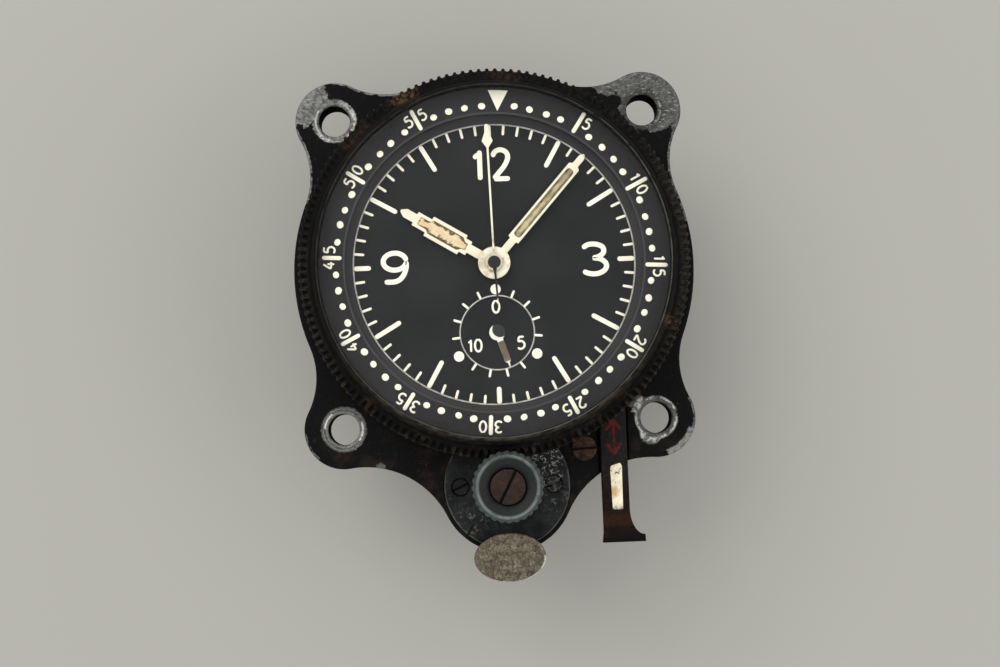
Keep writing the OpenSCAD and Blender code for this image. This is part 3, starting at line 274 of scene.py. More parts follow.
def addPiece(name, part, body, material, replaced=(), sharp=40.0, worn=None):
    # worn(points) gives each point's wear, which the materials read
    points, faces = part
    mesh = bpy.data.meshes.new(name)
    mesh.from_pydata((points * milli).tolist(), [], faces)
    if worn is not None:
        layer = mesh.attributes.new("worn", "FLOAT", "POINT")
        layer.data.foreach_set("value", np.asarray(worn(points), np.float32))
    work = bmesh.new()
    work.from_mesh(mesh)
    bmesh.ops.remove_doubles(work, verts=work.verts, dist=2e-7)  # closes seams and poles
    bmesh.ops.dissolve_degenerate(work, edges=work.edges, dist=1e-8)
    work.to_mesh(mesh)
    work.free()
    facing = np.empty(len(mesh.polygons) * 3)
    mesh.polygons.foreach_get("normal", facing)
    mesh.polygons.foreach_set("use_smooth", np.abs(facing[2::3]) < 0.99995)  # level faces stay truly flat
    mesh.set_sharp_from_angle(angle=math.radians(sharp))
    mesh.materials.append(material)
    piece = bpy.data.objects.new(name, mesh)
    bpy.context.scene.collection.objects.link(piece)
    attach(piece, body)
    if replaced:
        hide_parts(*replaced)
    return piece


# shader maths on sockets

class Wire:  # one output socket of a material; a sum on it adds a Math node
    def __init__(self, tree, socket=None):
        self.tree, self.socket = tree, socket

    def node(self, kind, settings=None, inputs=None, out=0):
        made = self.tree.nodes.new("ShaderNode" + kind)
        for key, value in (settings or {}).items():
            setattr(made, key, value)
        for key, value in (inputs or {}).items():
            if isinstance(value, Wire):
                self.tree.links.new(value.socket, made.inputs[key])
            else:
                made.inputs[key].default_value = value
        return Wire(self.tree, made.outputs[out])

    def math(self, operation, a, b=0.0):
        return self.node("Math", {"operation": operation}, {0: a, 1: b})

    def __add__(self, other):
        return self.math("ADD", self, other)

    def __radd__(self, other):
        return self.math("ADD", other, self)

    def __sub__(self, other):
        return self.math("SUBTRACT", self, other)

    def __rsub__(self, other):
        return self.math("SUBTRACT", other, self)

    def __mul__(self, other):
        return self.math("MULTIPLY", self, other)

    def __rmul__(self, other):
        return self.math("MULTIPLY", other, self)

    def __or__(self, other):  # the greater of two
        return self.math("MAXIMUM", self, other)

    def __ror__(self, other):
        return self.math("MAXIMUM", other, self)

    def __and__(self, other):  # the lesser of two
        return self.math("MINIMUM", self, other)

    def __rand__(self, other):
        return self.math("MINIMUM", other, self)

    def __abs__(self):
        return self.math("ABSOLUTE", self)


def paint(red, green, blue):  # a screen colour, 0 to 255, as a linear one
    level = np.array([red, green, blue]) / 255
    linear = np.where(level <= 0.04045, level / 12.92, ((level + 0.055) / 1.055) ** 2.4)
    return (*map(float, linear), 1.0)


def ramp(value, low, high):  # 0 at low, 1 at high, smooth between; the lower end may be the greater number
    limits = {"Value": value, "From Min": low, "From Max": high}
    return value.node("MapRange", {"interpolation_type": "SMOOTHSTEP"}, limits)


def mixed(mask, first, second):  # first where the mask is 0, second where it is 1, as wires or screen colours
    first, second = (c if isinstance(c, Wire) else paint(*c) for c in (first, second))
    return mask.node("Mix", {"data_type": "RGBA"}, {0: mask, 6: first, 7: second}, 2)


def coats(base, *layers):  # a base colour under layers, each a mask and its colour
    for mask, colour in layers:
        base = mixed(mask, base, colour)
    return base


def openTree(name):  # a new material, and the place on the piece in millimetres
    material = bpy.data.materials.new(name)
    material.use_nodes = True
    material.node_tree.nodes.clear()
    start = Wire(material.node_tree).node("TexCoord", out="Object")
    return material, start.node("Mapping", inputs={"Vector": start, "Scale": (1000, 1000, 1000)})


def axes(place):  # the three coordinates of a place
    return [place.node("SeparateXYZ", inputs={0: place}, out=k) for k in range(3)]


def noise(place, scale, detail=4.0, rough=0.55, stretch=None):  # clouds about 0.5, smaller for a larger scale
    if stretch:
        place = place.node("Mapping", inputs={"Vector": place, "Scale": stretch})
    grain = {"Vector": place, "Scale": scale, "Detail": detail, "Roughness": rough}
    return place.node("TexNoise", inputs=grain)


def sway(place, much, *grain):  # noise on both sides of 0, up to half of much
    return (noise(place, *grain) - 0.5) * much


def veins(place, wide, thin, *grain):  # fine lines where noise passes its middle
    return ramp(abs(noise(place, *grain) - 0.5), wide, thin)


def specks(place, scale, size):  # small round spots scattered over the surface
    return ramp(place.node("TexVoronoi", inputs={"Vector": place, "Scale": scale}), size, size * 0.55)


def away(place, at=(0, 0)):  # distance in the plane of the dial from a point
    flat = place.node("VectorMath", {"operation": "MULTIPLY"}, {0: place, 1: (1, 1, 0)})
    return place.node("VectorMath", {"operation": "DISTANCE"}, {0: flat, 1: (*at, 0)}, "Value")


def along(place, way):  # how far a place lies in a direction of the dial's plane
    return place.node("VectorMath", {"operation": "DOT_PRODUCT"}, {0: place, 1: (*way, 0)}, "Value")


def blobs(place, ragged, *spots, soft=0.12):  # patches as (x, y, radius), their edges moved by ragged
    found = 0.0
    for x, y, size in spots:
        found = ramp(away(place, (x, y)) + ragged, size + soft, size - soft) | found
    return found


def readWorn(place):  # the wear that addPiece has stored
    return place.node("Attribute", {"attribute_name": "worn"}, out="Fac")


def finishTree(place, shader):  # joins a shader to the material's output
    end = place.tree.nodes.new("ShaderNodeOutputMaterial")
    place.tree.links.new(shader.socket, end.inputs["Surface"])


def settle(material, place, colour, rough, metal=0.0, height=None, depth=0.02, gloss=0.5):
    # height is a relief of 0 to 1, depth its size in millimetres, and gloss the strength of the shine
    inputs = {"Base Color": colour, "Roughness": rough, "Metallic": metal, "Specular IOR Level": gloss}
    if height is not None:
        bump = {"Height": height, "Distance": depth * milli, "Strength": 1.0}
        inputs["Normal"] = place.node("Bump", inputs=bump)
    finishTree(place, place.node("BsdfPrincipled", inputs=inputs))
    return material


# finishes of the case

def flangePaint():
    material, place = openTree("flangePaint")
    x, y, z = axes(place)
    grit = noise(place, 2.2, 6, 0.65)
    ragged, fine = sway(place, 2.6, 0.9, 5, 0.6), sway(place, 0.9, 2.6, 4, 0.6)
    mirrored = place.node("VectorMath", {"operation": "ABSOLUTE"}, {0: place})
    fromHole = away(mirrored, (24, 24))
    # painted shade: the walls of the holes are painted near black
    shadedHoleWall = ramp(fromHole, 2.6, 2.45)

    # where the metal is bare: round the holes, on the upper ears and at a chip on the lower right one
    chip = blobs(place, fine, (28.2, -28.4, 2.9)) & ramp(away(place, (24, -24)) + fine * 0.6, 5.0, 5.3)
    bare = blobs(place, ragged, (-29.2, 27.6, 4.2), (25.6, 26.0, 5.4), (19.0, 29.4, 2.9), (21.4, -21.9, 1.5))
    bare = bare | blobs(place, fine, (-24, 24, 3.45), (30.2, 21.0, 1.6), (24, -24, 3.3), (23.1, -26.4, 1.7))
    bare = bare | blobs(place, fine, (-18.6, -30.1, 0.75)) | blobs(place, fine * 0.6, (-24, -24, 3.5)) | chip
    bare = (bare - blobs(place, fine, (20.0, 25.6, 0.9))) | 0.0
    rims = blobs(place, ragged, (-30.5, 17, 6), (-18, 30, 6), (30.5, 14, 8), (30, -25, 4), (-30, -27, 2.5))
    rubbed = ramp(readWorn(place) + sway(place, 1.6, 1.1, 5, 0.65), 0.75, 0.95) * rims
    bare = (bare * ramp(z, 4.15, 4.35)) | (rubbed * ramp(z, 2.0, 3.6))

    brown = ramp(noise(place, 0.35, 5), 0.5, 0.75) * ramp(y, -20, -32) * 0.75
    dust = specks(place, 1.3, 0.09) * ramp(noise(place, 0.5) + ramp(y, -22, -30) * 0.08, 0.45, 0.6)
    black = coats(
        mixed(ramp(grit, 0.35, 0.75), (9, 9, 10), (19, 19, 19)),
        (brown, (44, 34, 26)),
        (dust * 0.7, (104, 101, 94)),
        # painted shade on the walls of the holes
        (shadedHoleWall, (3, 3, 3)))

    turning = noise(place.node("CombineXYZ", inputs={0: fromHole, 1: noise(place, 0.5) * 0.6}), 2.6, 3, 0.7)
    lathed = ramp(x, 6, -6) * ramp(y, 6, -6)  # the lower left seat still shows how it was turned
    turning = turning * ramp(fromHole, 5.2, 3.6) * (0.72 + lathed * 0.2)
    scratch = ramp(noise(place, 1.5, 3, 0.7, (0.35, 2.2, 1)), 0.62, 0.72)
    torn = ramp(fromHole + fine, 2.85, 3.15) * ramp(fromHole, 4.1, 3.7)
    torn = torn * ramp(noise(place, 0.8, 4, 0.6), 0.38, 0.52) * ramp(x + y, 24, 12)
    torn = torn * (ramp(away(place), 36.5, 33.5) | ramp(y, 5, -5)) * (1 - lathed)
    upper = ramp(x + y, 26, 36)  # the upper right ear is the dullest
    nicked = ramp(noise(place, 2.4, 5, 0.75, (0.6, 1.5, 1)), 0.54, 0.66)
    pitted = ramp(noise(place, 2.1, 5, 0.75, (1.4, 0.7, 1)), 0.44, 0.32)
    glint = blobs(place, fine, (-26.5, -22.6, 1.3), (-21.2, -24.4, 1.5))
    glint = glint | (blobs(place, fine, (-26.9, 23.6, 2.2), (-21.7, 25.6, 1.2)) * 0.55)
    glint = glint | (blobs(place, fine, (27.0, 23.4, 1.9)) * 0.25)
    glint = glint * ramp(fromHole, 2.72, 2.86) * ramp(fromHole, 3.1, 2.98)  # light caught along a turned line
    metal = coats(
        mixed(ramp(noise(place, 1.7, 6, 0.7), 0.3, 0.7), (66, 66, 64), (134, 133, 129)),
        (ramp(turning, 0.46, 0.66) * (0.35 + lathed * 0.4), (184, 183, 178)),
        (scratch * 0.6, (190, 189, 184)),
        (ramp(noise(place, 0.7, 5, 0.65), 0.56, 0.7) * 0.6, (54, 52, 48)),
        ((ramp(y, 5, -15) * 0.65) | (ramp(x, -5, 15) * 0.3),
         mixed(ramp(turning, 0.4, 0.7), (64, 64, 62), (150, 149, 145))),
        (torn * ramp(noise(place, 2.6, 5, 0.7), 0.36, 0.58) * 0.85, (206, 205, 199)),
        (upper * (0.3 + ramp(fromHole + fine, 4.4, 2.7) * 0.45), (46, 46, 44)),
        (chip * ramp(noise(place, 2.4, 5, 0.7), 0.36, 0.56) * 0.75, (144, 143, 138)),
        (nicked * (0.26 + upper * 0.2), (204, 203, 197)),
        (pitted * 0.6, (34, 33, 31)),
        (glint * ramp(noise(place, 1.6, 4), 0.32, 0.5) * 0.85, (216, 215, 209)))

    rough = 0.45 + grit * 0.16 - bare * 0.03 + shadedHoleWall * 0.5
    relief = grit * 0.25 - bare * 0.6 + bare * (noise(place, 3.5, 5, 0.7) * 0.6 + turning * 0.7)
    return settle(material, place, mixed(bare, black, metal), rough, bare * 0.5, relief, 0.06, 0.05)


def bezelPaint():
    material, place = openTree("bezelPaint")
    x, y, z = axes(place)
    reach = away(place)
    grit = noise(place, 2.5, 6, 0.65)
    rust = ramp(noise(place, 0.42, 6, 0.65), 0.48, 0.66)
    ragged = sway(place, 4, 0.8, 5, 0.6)
    low = ramp(y, -8, -24)
    onRibs = ramp(reach, 27.6, 28.4)
    hot = blobs(place, ragged, (2.5, 28, 2.6), (-20, 19.5, 2.4), soft=0.8) * 0.3
    hot = hot | blobs(place, ragged, (-12.8, 25.8, 2.3), soft=0.8)
    hot = hot * (0.25 + ramp(reach, 27.3, 28.1) * 0.75)
    hot = hot | blobs(place, ragged * 0.5, (25.6, -10.0, 0.75), soft=0.5)
    hot = hot * ramp(z + sway(place, 6, 0.6, 4), 9.0, 12.5)  # bright rust, which fades down the side
    filled = ramp(x + y + sway(place, 16, 0.5, 4), 6, 24)  # dirt in the slots at the upper right
    # painted shade: the floors of the slots are painted near black, less where dirt fills them
    pocketShade = ramp(reach, 29.15, 28.95) * ramp(z, 12.98, 12.88) * ramp(z, 10.5, 11.5) * (1 - filled * 0.8)
    slope = ramp(reach, 28.1, 27.7) * ramp(z, 13.2, 13.8) * ramp(z, 15.4, 14.8) * ramp(x * 0.4 - y, 4, 16)
    fingered = ramp(x, 21, 27) | (ramp(x, -22, -27) * ramp(y, 9, -3))  # ribs rubbed by fingers
    tips = ramp(reach, 29.0, 29.3) * ramp(z, 11.2, 11.8)
    crumbs = ramp(noise(place, 3.4, 6, 0.75) + filled * 0.05, 0.64, 0.7)
    crumbs = crumbs * (ramp(noise(place, 0.35, 4), 0.46, 0.6) | (filled * 0.8))
    # painted highlight along the top of the lip on the lower side, with uneven strength
    lip = ramp(z, 15.0, 15.6) * low
    # painted highlight: a thin light line along the inner edge of the lip round the glass, stronger towards
    # the lower right
    line = ramp(reach, 26.36, 26.28) * ramp(z, 15.5, 15.7) * (0.35 + ramp(x - y, -20, 15) * 0.65)
    colour = coats(
        mixed(ramp(grit, 0.3, 0.75), (5, 5, 5), (14, 13, 12)),
        (rust * (0.18 + low * 0.4), (46, 37, 29)),
        (rust * onRibs * (0.1 + low * 0.3), (60, 51, 42)),
        (slope * ramp(noise(place, 0.8, 5, 0.65), 0.4, 0.65) * 0.6, (46, 43, 37)),
        (fingered * onRibs * ramp(grit, 0.35, 0.6) * 0.55, (60, 54, 46)),
        (tips * ramp(grit, 0.42, 0.7) * 0.5, (70, 63, 54)),
        # painted shade in the slots
        (pocketShade * 0.9, (2, 2, 2)),
        (crumbs * 0.55, (92, 90, 84)),
        (hot * ramp(noise(place, 1.4, 5, 0.7), 0.4, 0.6) * 0.8, (96, 72, 52)),
        (lip * ramp(noise(place, 0.7, 5, 0.7), 0.35, 0.65) * 0.8, (64, 60, 52)),
        (line * ramp(noise(place, 0.5, 4), 0.25, 0.6), (86, 84, 77)))
    return settle(material, place, colour, 0.5 + grit * 0.25, rust * 0.1, grit + rust * 0.6, 0.07, 0.06)


def coverPaint():
    material, place = openTree("coverPaint")
    x, y, _ = axes(place)
    grit = noise(place, 2.4, 6, 0.65)
    haze = ramp(noise(place, 0.33, 5, 0.6), 0.38, 0.68) * ramp(noise(place, 3.0, 6, 0.75), 0.36, 0.66)
    upright, level = (ramp(noise(place, 1.4, 4, 0.65, s), 0.6, 0.7) for s in ((2.6, 0.4, 1), (0.5, 2.2, 1)))
    curl = veins(place, 0.035, 0.01, 0.75, 4, 0.6) * ramp(noise(place, 1.1, 4), 0.45, 0.6)
    crust = curl | ramp(noise(place, 2.3, 6, 0.75), 0.58, 0.64)
    crust = crust * blobs(place, sway(place, 3, 0.7), (6.0, -28.6, 3.4), soft=1.4)
    crust = crust | (curl * blobs(place, sway(place, 2, 0.9), (7.6, -32.6, 1.5), soft=0.6))
    scored = blobs(place, 0.0, (-5.0, -38.6, 2.4), soft=1.4) | blobs(place, 0.0, (8.0, -35.8, 1.8), soft=1.2)
    crust = crust | (curl * scored * 0.22) | (ramp(noise(place, 2.6, 6, 0.8), 0.69, 0.74) * 0.4)
    fromNick = x * 0.86 - y * 0.5 - 15.6 + (grit - 0.5) * 0.5
    nick = ramp(abs(fromNick), 0.2, 0.08) * blobs(place, 0.0, (-5.2, -40.15, 1.0), soft=0.3)
    colour = coats(
        mixed(ramp(grit, 0.3, 0.75), (10, 11, 11), (21, 22, 22)),
        (haze * 0.55, (58, 61, 59)),
        ((upright | level) * 0.3, (74, 77, 75)),
        (ramp(readWorn(place) + sway(place, 1, 0.5, 4), 0.6, 1.0) * 0.7, (84, 87, 85)),
        (crust, (168, 169, 163)),
        (nick, (6, 6, 6)))
    relief = grit + crust * 1.5 - nick * 2
    return settle(material, place, colour, 0.45 + grit * 0.2, 0.0, relief, 0.06, 0.13)


def canPaint():
    material, place = openTree("canPaint")
    grit = noise(place, 2.0, 6, 0.65)
    corner = ramp(away(place), 26.0, 26.9) * ramp(axes(place)[2], -22.6, -23.4)  # the turned edge at the back
    rub = ramp(corner + sway(place, 1.4, 0.3, 5), 1.0, 1.4)
    scuff = ramp(noise(place, 0.5, 6, 0.7, (1, 1, 0.25)), 0.64, 0.74)
    colour = coats(
        mixed(ramp(grit, 0.3, 0.75), (20, 20, 21), (34, 34, 34)),
        (scuff * 0.5, (72, 70, 66)),
        (rub * 0.8, (128, 127, 123)))
    turning = noise(place.node("CombineXYZ", inputs={0: away(place)}), 5, 2)
    relief = grit * 0.6 + turning * 0.5
    return settle(material, place, colour, 0.4 + grit * 0.2, rub * 0.6, relief, 0.03, 0.25)


# finishes of dial, hands and glass

def dialPaint():
    material, place = openTree("dialPaint")
    reach = away(place)
    colour = coats(
        mixed(ramp(noise(place, 0.12, 4), 0.3, 0.7), (15, 16, 16), (22, 23, 22)),
        # painted light: from 21.3 out to 22.6, with the minute ring's inner wall, the paint is lighter to
        # make up for the shade under the ring
        (ramp(reach, 21.3, 21.6), (56, 57, 55)),
        (ramp(reach, 22.55, 22.7), (31, 32, 30)),
        (specks(place, 0.8, 0.05) * ramp(noise(place, 0.4), 0.5, 0.62), (110, 108, 102)),
        (ramp(noise(place, 3.2, 6, 0.75), 0.62, 0.74) * 0.14, (66, 66, 62)))
    return settle(material, place, colour, 0.52 + noise(place, 4, 5, 0.6) * 0.08, gloss=0.15)


def markPaint():
    material, place = openTree("markPaint")
    colour = coats(
        mixed(ramp(noise(place, 0.5, 4), 0.35, 0.7), (255, 251, 231), (249, 243, 219)),
        (ramp(noise(place, 2.4, 6, 0.75), 0.66, 0.74) * 0.5, (150, 140, 120)))
    return settle(material, place, colour, 0.6, 0.0, noise(place, 3.5, 5, 0.65), 0.02)


def trackPaint():
    material, place = openTree("trackPaint")
    colour = mixed(ramp(noise(place, 1.2, 4), 0.3, 0.7), (150, 148, 140), (196, 192, 182))
    return settle(material, place, colour, 0.6)


def handPaint():
    material, place = openTree("handPaint")
    grit = noise(place, 3, 5, 0.65)
    rust = ramp(away(place), 3.2, 1.6) * ramp(noise(place, 0.9, 5, 0.65), 0.46, 0.62)
    stain = blobs(place, sway(place, 2.4, 1.1, 5, 0.65), (-1.7, -0.2, 0.9), soft=0.5)
    colour = coats(
        mixed(ramp(noise(place, 0.6, 4), 0.35, 0.7), (237, 232, 209), (229, 220, 190)),
        (rust * 0.7, (168, 140, 100)),
        (stain * 0.45, (176, 150, 118)),
        (ramp(readWorn(place) + grit - 0.5, 0.85, 1.2) * 0.55, (150, 128, 92)),
        (ramp(noise(place, 2.2, 6, 0.75), 0.65, 0.72) * 0.6, (120, 100, 74)))
    return settle(material, place, colour, 0.5, 0.0, grit, 0.02)


def lumePaint(name, angle, shades):  # aged filling of a hand: a streak along its middle, broken at its edge
    material, place = openTree(name)
    streak = ramp(abs(along(place, clockWay(angle + 90))) + sway(place, 0.9, 0.8, 4), 0.42, 0.1)
    streak = streak * (0.35 + ramp(noise(place, 0.42, 3, 0.5), 0.4, 0.6) * 0.65) * shades["streaked"]
    broken = ramp(readWorn(place) * shades["chips"] + sway(place, 2.2, 1.3, 5, 0.7), 0.6, 0.8)
    crack = ramp(noise(place, 1.6, 3, 0.5, (0.6, 2.4, 1)), 0.66, 0.72)
    colour = coats(
        mixed(ramp(noise(place, 0.75, 5), 0.35, 0.65), shades["base"], shades["light"]),
        (streak, shades["streak"]),
        ((broken | (crack * 0.7)) * 0.92, shades["dark"]))
    relief = noise(place, 2.6, 6, 0.7) - broken * 1.2
    return settle(material, place, colour, 0.8, 0.0, relief, 0.08, 0.2)


def sweepPaint(angle, lean):  # ivory, but black over the cap and along the tail
    material, place = openTree("sweepPaint")
    run, beside = along(place, clockWay(angle)), along(place, clockWay(angle - lean + 90))
    tail = ramp(run, 0.1, -0.1) * ramp(run, -5.7, -5.4) * ramp(abs(beside), 0.3, 0.24)
    stain = ramp(noise(place, 1.4, 4), 0.4, 0.6) * ramp(run, 7, 2) * 0.7
    stain = stain | (ramp(away(place), 1.7, 1.1) * 0.45)
    colour = coats(
        mixed(stain, (240, 233, 208), (154, 125, 90)),
        (tail | ramp(away(place), 1.0, 0.92), (12, 11, 10)))
    return settle(material, place, colour, 0.5, 0.0, noise(place, 4), 0.01, 0.3)


def counterPaint(at, way):  # a dark hub, the cap with its painted shade, leaving a white crescent; an olive blade and a white tip
    material, place = openTree("counterPaint")
    run = along(place, way) - float(np.dot(at, way))
    hub, tip = ramp(run, 1.5, 1.35), ramp(run, 4.5, 4.7)
    # painted shade of the cap: a dark disc shifted up and right over the white hub
    clearOfCapShade = ramp(away(place, (at[0] + 0.42, at[1] + 0.42)), 1.12, 1.22)
    colour = coats(
        mixed(ramp(noise(place, 1.6, 5), 0.35, 0.7), (86, 74, 56), (118, 104, 80)),
        (hub | tip, (238, 234, 222)),
        (hub * (1 - clearOfCapShade), (22, 22, 21)))
    return settle(material, place, colour, 0.6, 0.0, noise(place, 4), 0.01)


def crystalGlass():  # clear, with a share of shine that grows at grazing views, smears and scratches
    material, place = openTree("crystalGlass")
    smear = ramp(noise(place, 0.09, 4, 0.6), 0.35, 0.75)
    hair = ramp(noise(place, 0.8, 2, 0.4, (0.25, 3, 1)), 0.73, 0.76)
    bounce = place.node("Fresnel", inputs={"IOR": 1.5})
    outside = 1 - place.node("NewGeometry", out="Backfacing")  # the faces met from within don't shine
    share = (bounce * (0.34 + smear * 0.2) + hair * 0.006) * outside
    clear = place.node("BsdfTransparent", inputs={"Color": (1, 1, 1, 1)})
    mirror = {"Base Color": (1, 1, 1, 1), "Metallic": 1.0, "Roughness": 0.08}
    shine = place.node("BsdfPrincipled", inputs=mirror)
    finishTree(place, place.node("MixShader", inputs={0: share, 1: clear, 2: shine}))
    return material


# finishes of knob, lever and pusher

def knobPlastic(at):
    material, place = openTree("knobPlastic")
    reach, grit = away(place, at), noise(place, 2.2, 6, 0.65)
    rim = ramp(reach, 4.3, 4.9) * ramp(axes(place)[2], 13.0, 13.8)
    # painted highlight: a light ring along the crest of the rim
    ring = ramp(reach, 4.12, 4.42) * ramp(reach, 4.85, 4.55)
    colour = coats(
        mixed(ramp(grit, 0.3, 0.75), (17, 20, 19), (29, 33, 31)),
        (rim * (0.3 + grit * 0.6), (78, 84, 81)),
        (ring * (0.25 + ramp(noise(place, 0.4, 4), 0.3, 0.7) * 0.5 + grit * 0.15), (110, 119, 115)),
        (ramp(noise(place, 1.3, 5), 0.55, 0.72) * 0.5, (28, 31, 30)))
    return settle(material, place, colour, 0.5 + grit * 0.15, 0.0, grit, 0.03, 0.25)


def rustScrew(name, base, dark, top, crusted=0.0, grimy=0.35):  # painted shade: darker in the slot, which lies below the top
    material, place = openTree(name)
    x, _, z = axes(place)
    grit = noise(place, 2.6, 6, 0.7)
    lathed = ramp(noise(place, 2.0, 3, 0.5, (0.3, 3, 1)), 0.62, 0.72)
    crust = ramp(noise(place, 1.3, 5, 0.75), 0.47, 0.56) * ramp(x, 2, 4) * crusted
    colour = coats(
        mixed(ramp(grit, 0.3, 0.7), dark, base),
        (lathed * 0.35, mixed(lathed, base, (128, 100, 84))),
        (ramp(noise(place, 0.55, 5, 0.7), 0.44, 0.6) * grimy, (14, 11, 9)),
        # painted shade below the top, in the slot
        (ramp(z, top - 0.12, top - 0.3), (8, 6, 5)),
        (crust, (120, 121, 116)))
    return settle(material, place, colour, 0.5 + grit * 0.2, 0.2, grit + crust, 0.05, 0.16)


def pusherNickel():
    material, place = openTree("pusherNickel")
    x, y, _ = axes(place)
    fine, grit = noise(place, 0.9, 8, 0.7), noise(place, 3.2, 6, 0.75)
    scrape = veins(place, 0.03, 0.006, 1.1, 5, 0.65, (1.9, 0.5, 0.5)) * ramp(noise(place, 0.6, 4), 0.42, 0.6)
    pit = veins(place, 0.022, 0.006, 0.9, 6, 0.7, (1.5, 0.6, 0.6)) * 0.8
    pit = pit | ramp(noise(place, 3.4, 6, 0.75), 0.57, 0.65)
    rimHighlight = ramp(x * 0.5 - y, 44.5, 48.5) * ramp(noise(place, 1.1, 4), 0.35, 0.55)  # painted highlight along the lower rim
    colour = coats(
        mixed(ramp(fine, 0.36, 0.64), (82, 71, 55), (126, 116, 96)),
        (scrape * 0.7, (174, 166, 146)),
        (ramp(grit, 0.6, 0.68) * 0.65, (188, 180, 160)),
        (pit * 0.8, (50, 40, 28)),
        # the rim worn darker brown all round, with the painted highlight along its lower part
        (ramp(readWorn(place), 0.25, 0.8) * (0.25 + rimHighlight * 0.65), mixed(rimHighlight, (84, 74, 58), (250, 245, 230))))
    relief = fine + grit * 0.4 - pit * 0.8
    return settle(material, place, colour, 0.42 + fine * 0.2, 0.3, relief, 0.08, 0.4)


def leverPaint():
    material, place = openTree("leverPaint")
    y = axes(place)[1]
    grit = noise(place, 2.3, 6, 0.65)
    brown = ramp(y + sway(place, 4, 0.5, 4), -30.5, -35.5)
    # brown below the black paint, a lighter band above the curl, and painted shade over the curled foot
    brownAndFootShade = coats(
        mixed(ramp(noise(place, 0.7, 5, 0.6), 0.35, 0.7), (10, 6, 3), (25, 13, 6)),
        (ramp(y, -37.6, -39.2) * ramp(y, -40.8, -39.6) * 0.6, (46, 26, 13)),
        # painted shade: darker to near black over the curled foot
        (ramp(y, -39.8, -42.2), (10, 7, 5)))
    smear = blobs(place, sway(place, 1.6, 0.8, 4), (17.2, -25.2, 1.0), soft=0.4)
    smear = smear | blobs(place, sway(place, 1.6, 0.7, 4), (17.2, -28.2, 0.9), soft=0.4)
    colour = coats(
        mixed(ramp(grit, 0.3, 0.75), (17, 18, 18), (29, 30, 29)),
        (brown, brownAndFootShade),
        (smear * 0.6, (58, 15, 14)),  # worn red paint
        (ramp(readWorn(place) + grit - 0.5, 0.9, 1.3) * 0.3, (62, 46, 32)))
    return settle(material, place, colour, 0.42 + grit * 0.2, brown * 0.1, grit, 0.05, 0.08)


def leverLumePaint():
    material, place = openTree("leverLumePaint")
    grit = noise(place, 2.6, 6, 0.7)
    burn = blobs(place, sway(place, 1.2, 1.2), (16.9, -35.0, 0.8), soft=0.45)
    pits = ramp(noise(place, 1.9, 4, 0.6), 0.6, 0.66)
    pits = pits * blobs(place, (grit - 0.5) * 2, (17.3, -32.8, 1.7), soft=0.6)
    grime = ramp(axes(place)[1] + (grit - 0.5) * 2.2, -36.9, -37.9)
    colour = coats(
        mixed(ramp(noise(place, 0.8, 5), 0.35, 0.7), (240, 232, 206), (222, 210, 176)),
        (burn * 0.8, (190, 150, 96)),
        ((pits | grime) * 0.85, (66, 52, 36)))
    return settle(material, place, colour, 0.75, 0.0, grit - pits, 0.06, 0.25)


def arrowPaint():
    material, place = openTree("arrowPaint")
    colour = mixed(ramp(noise(place, 1.4, 5, 0.65), 0.35, 0.68), (88, 26, 24), (40, 15, 14))
    return settle(material, place, colour, 0.55, 0.0, noise(place, 3), 0.02, 0.15)


# finishes of the parts inside

def plainFinish(name, dark, light, rough, metal, scale=1.5):
    material, place = openTree(name)
    grit = noise(place, scale, 6, 0.6)
    brushed = noise(place, scale * 2, 3, 0.5, (0.2, 3, 1))
    colour = mixed(ramp(grit * 0.6 + brushed * 0.4, 0.35, 0.65), dark, light)
    return settle(material, place, colour, rough + grit * 0.12, metal, brushed, 0.01)


finishes = {
    "brass": plainFinish("brassFinish", (150, 118, 58), (206, 172, 100), 0.28, 0.9),
    "steel": plainFinish("steelFinish", (140, 140, 142), (196, 196, 196), 0.25, 0.9),
    "spring_steel": plainFinish("springFinish", (40, 48, 74), (82, 92, 120), 0.3, 0.85),
    "seal_rubber": plainFinish("sealFinish", (26, 23, 20), (46, 41, 36), 0.7, 0.0),
    "dial_black": dialPaint(),
    "case_black": flangePaint(),
    "can_black": canPaint(),
}
tarnished = plainFinish("tarnishedBrass", (24, 21, 16), (44, 38, 28), 0.5, 0.4)
slotOf = {row["node"]: row["material_slot"] for row in frame["record"]["subparts"]}
for name, node in nodes.items():
    finish = tarnished if name == "pusher_bush" else finishes.get(slotOf[name])
    if finish:
        node.data.materials.clear()
        node.data.materials.append(finish)
print("finishes made:", len(bpy.data.materials))


# flange: plate with ears, channel for the lever, collar and spigot

flange = {"radius": 30.98, "thick": 4.5, "hole": 24.0, "holeR": 2.4, "ear": 6.1, "earHollow": 12.0,
          "bulge": 10.3, "bulgeHollow": 14.0, "edge": 0.35, "band": 0.3, "channelX": (15.0, 19.4),
          "channelZ": 3.7, "heart": 24.5, "lap": 0.1, "round": 0.12, "points": 1400, "sides": 240,
          "holeSides": 72,
          "collar": [[26.6, 4.4], [26.6, 11.5], [24.45, 11.5], [24.45, 9.6], [22.5, 9.6], [22.5, 7.0],
                     [24.45, 7.0], [24.45, 4.4]],
          "spigot": [[25.5, -5.0], [25.5, 0.3], [24.45, 0.3], [24.45, -5.0]]}
knobAt = np.array([0.7, -33.4896])
pusherRoom = {"foot": -47.04, "half": 6.2, "x": (-4.3, 5.7), "points": 34, "margin": 0.06,
              "drops": (0.1, 0.02), "flangeY": (-42.4, -42.54, -42.75, -42.95),
              "coverY": (-41.2, -41.34, -41.7)}
earAts = [np.array([sx * flange["hole"], sy * flange["hole"]]) for sx in (-1, 1) for sy in (-1, 1)]


def meetingPoint(a, ra, b, rb, side):
    # where circles round a and b cross, left of the way from a to b for side 1
    far = np.linalg.norm(b - a)
    way = (b - a) / far
    run = (ra * ra - rb * rb + far * far) / (2 * far)
    return a + run * way + side * math.sqrt(ra * ra - run * run) * np.array([-way[1], way[0]])


